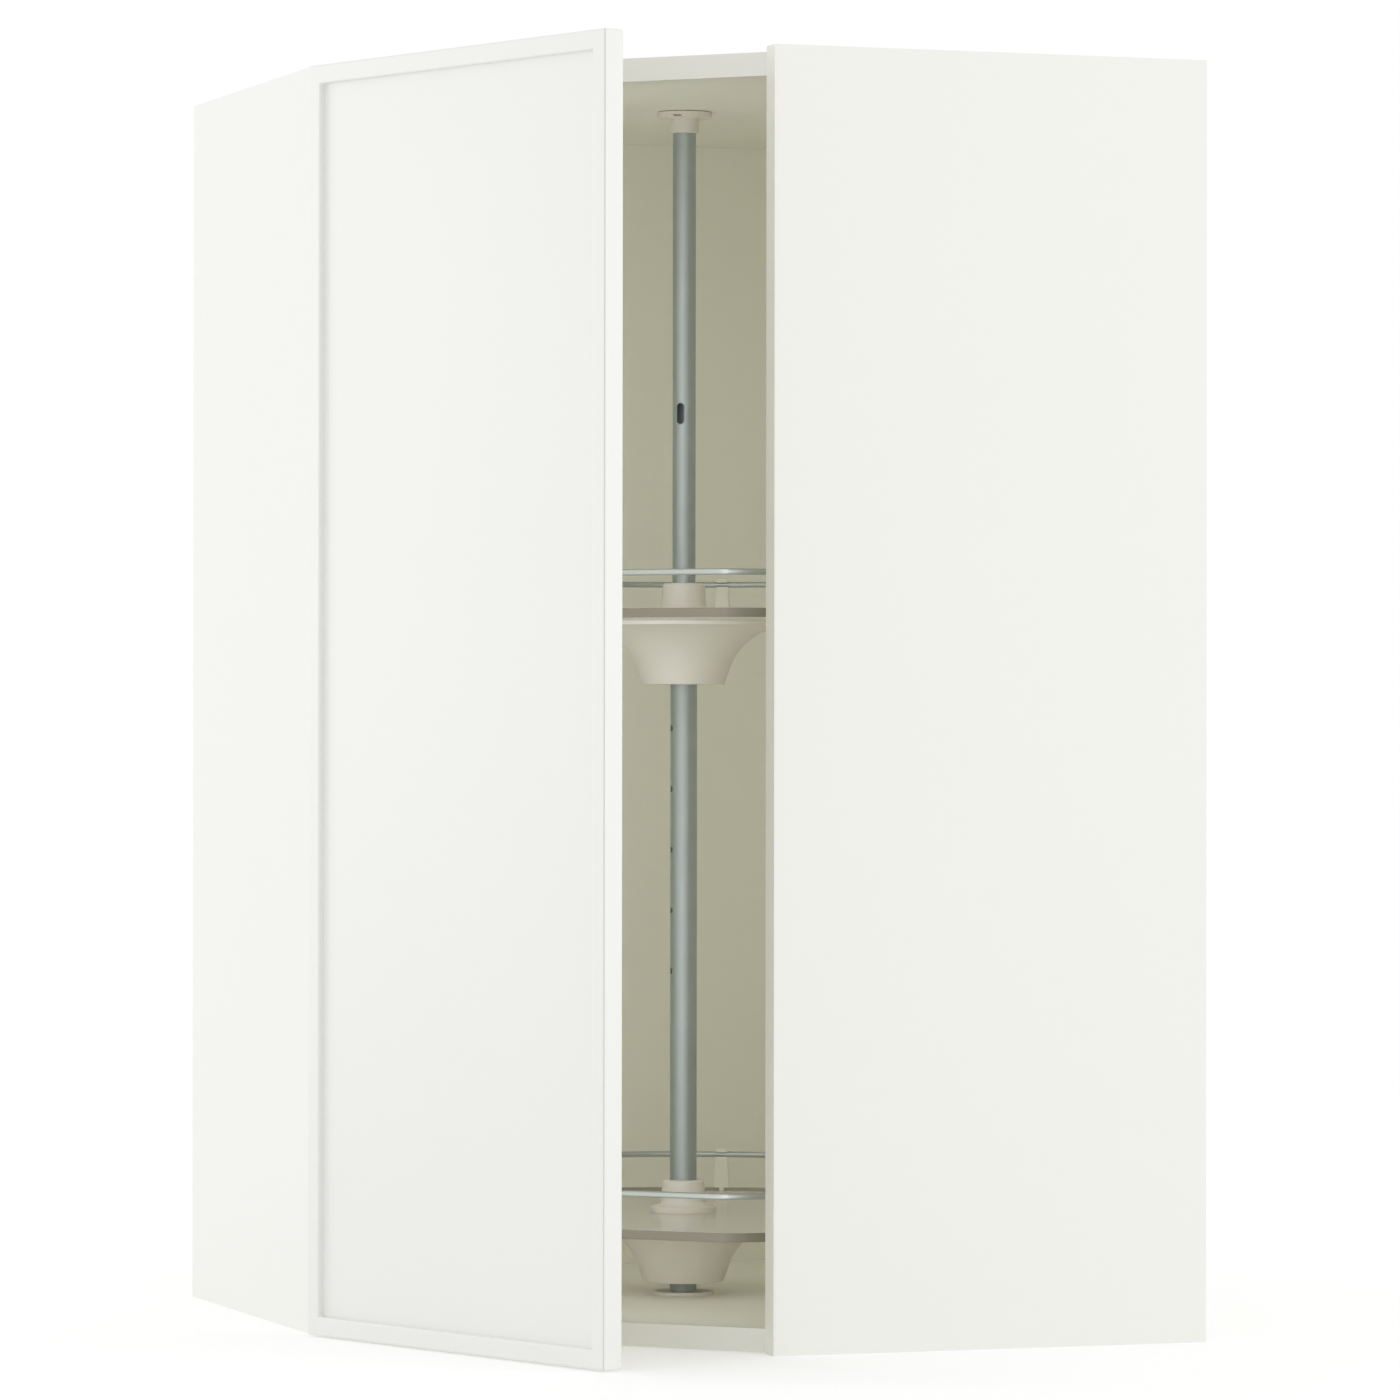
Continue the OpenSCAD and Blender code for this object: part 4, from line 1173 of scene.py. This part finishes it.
@dataclass(frozen=True)
class Shelf(Assembly):
    """One turning shelf: hub, tray, collar and posts. Its rail keeps its shape."""

    level: str
    z: float  # height of the tray's underside
    radius: float = 0.257  # radius of the tray
    front: float = 0.217  # distance from the pole to its straight edge
    corner: float = 0.015  # radius of its corners
    turn: float = -135.0  # its turn, in degrees
    rim_h: float = 0.0075
    rim_w: float = 0.009
    floor_t: float = 0.0055  # thickness of its floor
    step: float = 0.0012  # width of the step under its rim
    step_h: float = 0.0024
    spigot_r: float = 0.0174  # radius of the hole that the collar's spigot goes through
    hub_h: float = 0.0515
    hub_foot: float = 0.0333  # radius of the hub's foot
    hub_lip: float = 0.083  # radius of its upper lip
    hub_hole: float = 0.0115
    hub_wall: float = 0.0025
    flare_r: float = 0.0538  # radius of its hollow flare
    flare_low: Pair = (0.0368, 0.010)  # where the flare starts: radius and height
    flare_high: Pair = (0.083, 0.0485)  # where it ends
    plate: Pair = (0.0176, 0.0812)  # inner and outer radius of the hub's upper plate
    collar_r: float = 0.0172
    collar_bore: float = 0.01108
    flange_r: float = 0.027  # radius of the collar's flange
    cove: float = 0.005  # radius of the cove above it
    collar_z: Pair = (-0.012, 0.0318)  # lowest and highest point of the collar
    bolt_r: float = 0.0225  # distance of the screws from the pole
    bolt_hole: float = 0.00177
    rail_z: float = 0.0359  # height of the rail's axis
    post: Point = (0.0067, 0.00325, 0.0336)  # half the posts' width and thickness, and their height
    post_dirs: tuple[float, ...] = (18, 70, 128)  # directions of the posts, from the tray's back

    def build(self) -> None:
        """Makes the whole shelf."""
        for maker, slot, node, finish in (
            (self._hub, "cream_plastic", "hub", ""), (self._collar, "cream_plastic", "collar", ""),
            (self._tray, "clear_plastic", "tray", ""),
            (self._posts, "cream_plastic", "rail_posts", "post_moulding"),
        ):
            piece = moved(maker(), Matrix.Translation((0, 0, self.z)))
            self.dresser.add(piece, slot, f"{self.level}_shelf", f"{self.level}_{node}", finish)
            if node == "tray":
                # painted shade: the tray's outer edge gets an opaque dark finish
                self.dresser.line(piece, "tray_edge_painted_shade", self._on_edge)
                piece.visible_shadow = piece.visible_diffuse = False

    def bolt_turns(self) -> tuple[float, ...]:
        """Directions of the screws that clamp hub, tray and collar."""
        return 0, 90, 180, 270

    def _bolt_holes(self, piece: Piece, low: float, high: float) -> None:
        """Bores the screws' holes through a ring.

        Args:
            piece: The ring.
            low: Where the bores start.
            high: Where they end.
        """
        for turn in map(math.radians, self.bolt_turns()):
            x, y = self.bolt_r * math.cos(turn), self.bolt_r * math.sin(turn)
            bore(piece, (x, y, low), (x, y, high), self.bolt_hole, COARSE)

    def _on_edge(self, face: Face) -> bool:
        """Whether a face of the tray belongs to its outer edge."""
        out, ahead, skin = face.center.xy.length, face.center.xy.dot(Vector((HALF, -HALF))), 0.002
        return abs(face.normal.z) < FACING and (out > self.radius - skin or ahead > self.front - skin)

    def _flare(self, radius: float, steps: int = 20) -> Section:
        """Points of the hub's flare, from the foot up.

        Args:
            radius: Radius of the arc, which is larger for the inner face.
            steps: Steps along it.

        Returns:
            The points, without rounding.
        """
        start, end = Vector(self.flare_low), Vector(self.flare_high)
        chord = end - start
        sag = math.sqrt(self.flare_r ** 2 - chord.length_squared / 4)
        centre = (start + end) / 2 + Vector((chord.y, -chord.x)).normalized() * sag
        first, last = (math.atan2(*(p - centre).yx) for p in (start, end))
        turns = [first + (last - first) * k / steps for k in range(steps + 1)]
        return [(centre.x + radius * math.cos(a), centre.y + radius * math.sin(a), 0) for a in turns]

    def _hub(self) -> Piece:
        """Turns the flared hub, hollow, with a rounded lip and foot.

        Returns:
            The hub with its upper plate, from its foot at z = -hub_h to z = 0.
        """
        wall, top = self.hub_wall, self.hub_h
        outer = [(self.hub_hole, 0, 0), (self.hub_foot, 0, 0.0008), *self._flare(self.flare_r),
                 (self.hub_lip, top, 0.0007)]
        inner = [(self.hub_lip - wall, top, 0.0003), *reversed(self._flare(self.flare_r + wall)),
                 (self.hub_foot - wall, wall, 0), (self.hub_hole, wall, 0)]
        hub = turned(f"{self.level}_hub_shell", outer + inner, 120)
        (start, end), low, high = self.plate, top - 0.0026, top - 0.0001
        plate = turned("plate", [(start, low, 0), (end, low, 0), (end, high, 0), (start, high, 0)], 120)
        self._bolt_holes(plate, 0.040, 0.060)
        whole = joined([smooth(hub), smooth(plate)], f"{self.level}_hub_shell")
        return moved(whole, Matrix.Translation((0, 0, -top)))

    def _collar(self) -> Piece:
        """Turns the flanged collar with its cove.

        Returns:
            The collar. The upper one has a seat that rests on the lower tube's end.
        """
        r, inner, (low, high) = self.collar_r, self.collar_bore, self.collar_z
        x, z = r + 0.006, 0.0155
        cove = [(x - self.cove * math.sin(math.radians(a)), z - self.cove * math.cos(math.radians(a)), 0)
                for a in range(0, 91, 10)]
        outline = [(r, low, 0.0004), (r, 0.0055, 0), (self.flange_r, 0.0055, 0.0002),
                   (self.flange_r, 0.0098, 0.0003), (0.0263, 0.0105, 0.0003), *cove, (r, 0.0304, 0),
                   (0.0158, high, 0.0008)]
        if self.level == "lower":
            outline.append((inner, high, 0.0004))
        else:
            outline += [(0.010, high, 0.0004), (0.010, 0.0263, 0), (inner, 0.0263, 0)]
        collar = turned(f"{self.level}_collar_ring", outline + [(inner, low, 0.0004)])
        self._bolt_holes(collar, 0.002, 0.0095)
        return smooth(collar)

    def _tray(self) -> Piece:
        """Makes the clear tray with its overhanging rim.

        Returns:
            The tray, with its underside at z = 0.
        """
        rise = self.front - self.corner
        x, name = math.sqrt((self.radius - self.corner) ** 2 - rise ** 2), f"{self.level}_tray_clear"
        bend = math.atan2(x, rise)
        tray = single_point(name, (-x, self.front - self.step, 0))
        with editing(tray, True):
            extrude(2 * x, 0, 0)
            for steps, angle, centre in ((8, bend, (x, rise, 0)), (150, math.tau - 2 * bend, (0, 0, 0)),
                                         (8, bend, (-x, rise, 0))):
                bpy.ops.mesh.spin(steps=steps, angle=angle, center=centre, axis=(0, 0, 1))
            bpy.ops.mesh.select_all(action="SELECT")
            bpy.ops.mesh.remove_doubles(threshold=MM * 0.05)
            bpy.ops.mesh.edge_face_add()
            extrude(0, 0, self.step_h)
            extrude(0, 0, self.rim_h - self.step_h)
        mend(tray)
        with editing(tray):
            select(tray, Part.FACES, lambda face: abs(face.normal.z) < 1 - FACING
                   and face.calc_center_median().z > self.step_h)
            bpy.ops.mesh.extrude_region_shrink_fatten(TRANSFORM_OT_shrink_fatten={"value": self.step})
        with editing(tray):
            select(tray, Part.FACES, lambda face: face.normal.z > FACING
                   and face.calc_center_median().z > self.rim_h * 0.9)
            bpy.ops.mesh.dissolve_faces()
            bpy.ops.mesh.inset(thickness=self.rim_w, depth=0)
            extrude(0, 0, self.floor_t - self.rim_h)
        bevel_edges(tray, 0.0008, 3, lambda edge: not 0.0001 <= middle(edge).z <= self.floor_t * 0.9)
        moved(tray, placed(0, 0, 0, self.turn))
        bore(tray, (0, 0, -PAST), (0, 0, 0.010), self.spigot_r, FINE)
        return smooth(tray, FLAT_BREAK)

    def _posts(self) -> Piece:
        """Makes the six posts from one, each bored for the rail.

        Returns:
            The posts in one piece.
        """
        across, thick, high = self.post
        post = box_piece("post", (-across, -thick, 0), (across, thick, high))
        with editing(post):
            select(post, Part.POINTS, lambda point: point.co.z > high / 2)
            bpy.ops.transform.resize(value=(0.75, 0.86, 1), center_override=(0, 0, high))
        bevel_edges(post, 0.0016, 4, lambda edge: middle(edge).z > 0.001)
        peg = round_bar("peg", 0.002, (0, 0, -0.004), (0, 0, 0.001), COARSE)
        rail = self.rail_z - self.rim_h
        bore(post, (-0.010, 0.001, rail), (0.010, 0.001, rail), 0.0026, 32)
        post = joined([smooth(post), smooth(peg)], "post")
        stand = Matrix.Translation((0, self.rim_w / 2 - self.radius, self.rim_h))
        posts = [moved(copy_of(post, "post_copy"), placed(0, 0, 0, self.turn + side * direction) @ stand)
                 for side in (-1, 1) for direction in self.post_dirs]
        bpy.data.objects.remove(post)
        return joined(posts, f"{self.level}_posts")


@dataclass(frozen=True)
class ScrewSize:
    """Sizes of one kind of screw."""

    shank_r: float
    length: float  # length of its shank
    head_r: float
    head_h: float

    def model(self, name: str) -> Piece:
        """Makes the screw with its domed head and cross recess.

        Args:
            name: The piece's name.

        Returns:
            The screw, which points along +z with its head's underside at z = 0.
        """
        r, h, shank = self.head_r, self.head_h, self.shank_r
        screw = turned(name, [
            (0, -h, 0), (r * 0.55, -h * 0.97, r * 0.2), (r * 0.93, -h * 0.55, r * 0.2), (r, 0, h * 0.08),
            (shank, 0, 0), (shank, self.length - shank, 0), (0, self.length, 0)], 32, 3)
        arm, half = r * 0.52, r * 0.11
        notch(screw, (-arm, -half, -2 * h), (arm, half, -h * 0.45))
        notch(screw, (-half, -arm, -2 * h), (half, arm, -h * 0.45))
        return smooth(screw, FLAT_BREAK)


class Screw(Enum):
    """Every kind of screw."""

    PANEL = ScrewSize(0.0015, 0.013, 0.003, 0.002)
    BRACKET = ScrewSize(0.002, 0.013, 0.00375, 0.0025)
    PLATE = ScrewSize(0.0025, 0.012, 0.0035, 0.002)
    ARM = ScrewSize(0.002, 0.0077, 0.0038, 0.0024)
    CUP = ScrewSize(0.00175, 0.010, 0.00325, 0.0018)
    HUB = ScrewSize(0.00175, 0.012, 0.00325, 0.002)
    ADJUSTER = ScrewSize(0.0012, 0.002, 0.0027, 0.0012)


@dataclass(frozen=True)
class Hinge(Assembly):
    """One concealed hinge, drawn at its arm pin and copied to each height."""

    pin: Pair = (0.0023, -0.3052)  # place of the arm pin, in plan
    base: float = -0.006  # height of the mounting plate's underside, from the pin
    plate_t: float = 0.002
    plate_size: Pair = (0.040, 0.023)  # length and half the height of the plate
    arm_len: float = 0.060  # length of the arm behind the pin
    arm_half: float = 0.0078  # half the arm's height
    nose_r: float = 0.0044  # radius of the arm's eyes
    slot_half: float = 0.0048  # half the slot between the arm's ears
    pin_hole: float = 0.00202
    screw_x: float = -0.040  # place of the screws, from the pin
    screw_rise: float = 0.016  # height of the plate's screws over its middle
    screw_hole: float = 0.00252
    seat: Pair = (0.004, 0.003)  # radius and depth of the arm screw's seat
    adjuster_x: float = -0.022  # place of the adjusting screw, from the pin
    adjuster_seat: Pair = (0.0030, 0.0022)
    cup_wall: float = 0.0009
    cup_depth: float = 0.0117
    flange_t: float = 0.0012  # thickness of the cup's flange
    wing: Pair = (0.012, 0.030)  # reach of its wings, across and up

    def build(self, door: Door, heights: tuple[float, ...]) -> None:
        """Makes the hinges.

        Args:
            door: The door that the cups are bored into.
            heights: Heights of the hinges.
        """
        models = {"hinge_plate": self._plate(), "hinge_arm": self._arm(), "hinge_cup": self._cup(door)}
        for name, z in zip(("bottom", "middle", "top"), heights):
            on_door = door.place() @ placed(door.cup_x, door.thickness, z)
            for node, model in models.items():
                place, body = (on_door, "door") if node == "hinge_cup" else (placed(*self.pin, z), "carcass")
                piece = moved(copy_of(model, f"{name}_{node}_stamped"), place)
                self.dresser.add(piece, "hinge_nickel", body, f"{name}_{node}")
        for model in models.values():
            bpy.data.objects.remove(model)

    def crown(self) -> float:
        """Height of the arm's outer face, from the pin."""
        return self.nose_r + 0.0005

    def _plate(self) -> Piece:
        """Makes the mounting plate with its screw holes.

        Returns:
            The plate.
        """
        (length, half), low, x = self.plate_size, -self.arm_len, self.screw_x
        plate = box_piece("plate", (low, self.base, -half), (low + length, self.base + self.plate_t, half))
        round_corners(plate, 0.006, 1, self.plate_t * 0.9)
        bevel_edges(plate, 0.0004, 2, lambda edge: middle(edge).y > self.base + self.plate_t * 0.9)
        for z, radius in ((-self.screw_rise, self.screw_hole), (self.screw_rise, self.screw_hole),
                          (0, self.pin_hole)):
            bore(plate, (x, self.base - PAST, z), (x, self.base + 0.004, z), radius, 32)
        return smooth(plate, FLAT_BREAK)

    def _arm(self) -> Piece:
        """Makes the arm with its two ears, pin bore, screw seat and stamped panel.

        Returns:
            The arm.
        """
        foot, crown, nose, half = self.base + self.plate_t, self.crown(), self.nose_r, self.arm_half
        arm = box_piece("arm", (-self.arm_len, foot, -half), (-0.010, crown, half))
        with editing(arm):
            select(arm, Part.FACES, lambda face: face.normal.y > FACING)
            bpy.ops.mesh.inset(thickness=0.003, depth=0)
            extrude(0, -0.0006, 0)
        bevel_edges(arm, 0.0016, 4, lambda edge: middle(edge).y > crown * 0.98 and (
            abs(middle(edge).z) > half * 0.95 or middle(edge).x < 0.001 - self.arm_len))
        ears = []
        for side in (-1, 1):
            low, high = sorted((side * self.slot_half, side * half))
            ear = box_piece("ear", (-0.0102, -nose, low), (nose, nose, high))
            bevel_edges(ear, nose * 0.97, 10, lambda edge: upright(edge) and middle(edge).x > 0)
            bore(ear, (0, 0, low - PAST), (0, 0, high + PAST), self.pin_hole, 32)
            ears.append(smooth(ear, FLAT_BREAK))
        x, turn_x = self.screw_x, self.adjuster_x
        for at, (radius, depth) in ((x, self.seat), (turn_x, self.adjuster_seat)):
            bore(arm, (at, crown + PAST, 0), (at, crown - depth, 0), radius, 32)
        bore(arm, (x, crown, 0), (x, foot - PAST, 0), self.pin_hole, 32)
        adjuster = Screw.ADJUSTER.value.model("adjuster")
        moved(adjuster, placed(turn_x, crown - 0.0014, 0, 90, "X"))
        return joined([smooth(arm, FLAT_BREAK), adjuster, *ears], "arm")

    def _cup(self, door: Door) -> Piece:
        """Makes the cup with its winged flange, in the door's frame at the cup's centre.

        Args:
            door: The door that it is pressed into.

        Returns:
            The cup.
        """
        r, depth, wall, flange = door.cup_r - 0.00002, self.cup_depth, self.cup_wall, self.flange_t
        cup = turned("cup", [
            (0, -depth, 0), (r, -depth, 0.002), (r, 0, 0), (r + 0.0015, 0, 0.0001),
            (r + 0.0015, flange, 0.0006), (r - wall, flange, 0.0005), (r - wall, wall - depth, 0.0012),
            (0, wall - depth, 0)], 72)
        moved(cup, Matrix.Rotation(math.radians(-90), 4, "X"))
        across, up = self.wing
        wing = box_piece("wing", (-0.002, 0, -up), (across, flange, up))
        round_corners(wing, 0.005, 1, 0.001)
        bevel_edges(wing, 0.0003, 2, lambda edge: middle(edge).y > 0.001)
        bore(wing, (0, -PAST, 0), (0, 0.003, 0), r - wall * 0.5, 72)
        x, rise = door.screw_off
        for z in (-rise, rise):
            bore(wing, (x, -PAST, z), (x, 0.003, z), door.screw_hole[0], COARSE)
        whole = joined([smooth(cup, FLAT_BREAK), smooth(wing, FLAT_BREAK)], "cup")
        x, y = door.pin_x - door.cup_x, door.pin_y - door.thickness
        bore(whole, (x, y, -0.020), (x, y, 0.020), 0.00152, COARSE)
        return whole


@dataclass(frozen=True)
class Brackets(Assembly):
    """The two hanging brackets, bent from steel strip."""

    off_wall: float = 0.0005  # distance of a bracket from the wall
    strip: float = 0.0025  # thickness of the steel
    width: float = 0.018  # width of the leg on the side panel
    leg: float = 0.042  # length of the leg along the wall
    z: Pair = (0.8898, 0.9798)  # its lowest and highest point
    hang_hole: Pair = (0.026, 0.00425)  # distance of the wall bolt's hole, and its radius
    screw_x: float = 0.010  # distance of its screws from the wall
    screw_hole: float = 0.00202

    def screw_z(self) -> tuple[float, ...]:
        """Heights of a bracket's screws."""
        return tuple(self.z[0] + part * (self.z[1] - self.z[0]) for part in (0.2, 0.8))

    def build(self, boards: Boards) -> None:
        """Makes the left bracket and its mirror image.

        Args:
            boards: The boards that they are screwed to.
        """
        x, y, (low, high), strip = self.off_wall - boards.wall, -boards.side_in, self.z, self.strip
        left = box_piece("left_bracket_steel", (x, y, low), (x + self.width, y + strip, high))
        with editing(left, True):
            bpy.ops.mesh.bisect(plane_co=(x + strip, 0, 0), plane_no=(1, 0, 0))
            select(left, Part.FACES, lambda face: face.normal.y > FACING
                   and face.calc_center_median().x < x + strip)
            extrude(0, self.leg - strip, 0)
        mend(left)
        flat = strip * 1.5
        bevel_edges(left, 0.002, 5, lambda edge: upright(edge)
                    and middle(edge).x < x + flat and middle(edge).y < y + flat)
        bevel_edges(left, 0.004, 5, lambda edge: not upright(edge)
                    and spans(edge, 0, strip * 0.9) and middle(edge).y > y + self.leg * 0.9)
        (off, radius), mid = self.hang_hole, (low + high) / 2
        bore(left, (x - PAST, y + off, mid), (x + 0.004, y + off, mid), radius)
        screw_x = self.screw_x - boards.wall
        for z in self.screw_z():
            bore(left, (screw_x, y - PAST, z), (screw_x, y + 0.004, z), self.screw_hole, 32)
        right = moved(copy_of(smooth(left, FLAT_BREAK), "right_bracket_steel"), MIRROR)
        for piece, side in ((left, "left"), (right, "right")):
            self.dresser.add(piece, "zinc", "carcass", f"{side}_hanging_bracket")


@dataclass(frozen=True)
class Fasteners(Assembly):
    """Every screw of the cabinet, one mesh for each node."""

    panel_face: float = -0.300  # inner face of the left back panel
    panel_in: float = 0.030  # distance of its screws from the wall
    panel_end: float = 0.060  # distance of the outer ones from the bottom and top panel
    panel_count: int = 5
    tray_under: float = 0.0025  # how far the hub screws' heads lie under the tray

    def build(self, boards: Boards, door: Door, hinge: Hinge, brackets: Brackets,
              shelves: tuple[Shelf, ...]) -> None:
        """Makes all screws.

        Args:
            boards: The boards that they stand in.
            door: The door.
            hinge: The hinges.
            brackets: The hanging brackets.
            shelves: Both shelves.
        """
        low, inner = boards.deck_t + self.panel_end, -boards.side_in
        step = (boards.ceiling - boards.deck_t - 2 * self.panel_end) / (self.panel_count - 1)
        back = [placed(self.panel_face, boards.wall - self.panel_in, low + i * step, -90, "Y")
                for i in range(self.panel_count)]
        hung = [placed(brackets.screw_x - boards.wall, brackets.strip + inner, z, 90, "X")
                for z in brackets.screw_z()]
        for node, screw, left in (("back_panel_screws", Screw.PANEL, back),
                                  ("bracket_screws", Screw.BRACKET, hung)):
            self._set(node, "carcass", screw, left + [MIRROR @ place for place in left])
        seat = hinge.pin[1] + hinge.crown() - hinge.seat[1]
        self._set("hinge_plate_screws", "carcass", Screw.PLATE, [
            placed(boards.hinge_x, hinge.plate_t + inner, z + side * hinge.screw_rise, 90, "X")
            for z in boards.hinge_z for side in (-1, 1)])
        self._set("hinge_arm_screws", "carcass", Screw.ARM, [
            placed(boards.hinge_x, seat, z, 90, "X") for z in boards.hinge_z])
        across, up = door.screw_off
        self._set("hinge_cup_screws", "door", Screw.CUP, [
            door.place() @ placed(door.cup_x + across, door.thickness + hinge.flange_t, z + side * up, 90, "X")
            for z in boards.hinge_z for side in (-1, 1)])
        for shelf in shelves:
            self._set(f"{shelf.level}_hub_screws", f"{shelf.level}_shelf", Screw.HUB, [
                placed(0, 0, shelf.z - self.tray_under, turn) @ placed(shelf.bolt_r, 0, 0)
                for turn in shelf.bolt_turns()])

    def _set(self, node: str, body: str, screw: Screw, places: list[Matrix]) -> None:
        """Makes one node's screws from one model.

        Args:
            node: The node that they replace.
            body: The body that they move with.
            screw: Their kind.
            places: Where they stand.
        """
        model = screw.value.model("screw")
        copies = [moved(copy_of(model, "screw_copy"), place) for place in places]
        bpy.data.objects.remove(model)
        self.dresser.add(joined(copies, f"{node}_cross"), "zinc", body, node)


def main() -> None:
    """Builds, dresses and lights the cabinet."""
    logging.basicConfig(level=logging.INFO, format="%(name)s: %(message)s")
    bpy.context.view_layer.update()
    bpy.context.scene.view_settings.view_transform = "Standard"
    cycles = bpy.context.scene.cycles
    cycles.diffuse_bounces = cycles.max_bounces = LIGHT_BOUNCES
    dresser = Dresser(SurfaceEffects())
    dresser.dress_nodes()
    boards, door, hinge, brackets = Boards(dresser), Door(dresser), Hinge(dresser), Brackets(dresser)
    shelves = (Shelf(dresser, "lower", 0.0809), Shelf(dresser, "upper", 0.5719))
    boards.build()
    door.build(boards.hinge_z)
    Pole(dresser).build(boards)
    for shelf in shelves:
        shelf.build()
    hinge.build(door, boards.hinge_z)
    brackets.build(boards)
    Fasteners(dresser).build(boards, door, hinge, brackets, shelves)
    Studio().build()


if __name__ == "__main__":
    main()
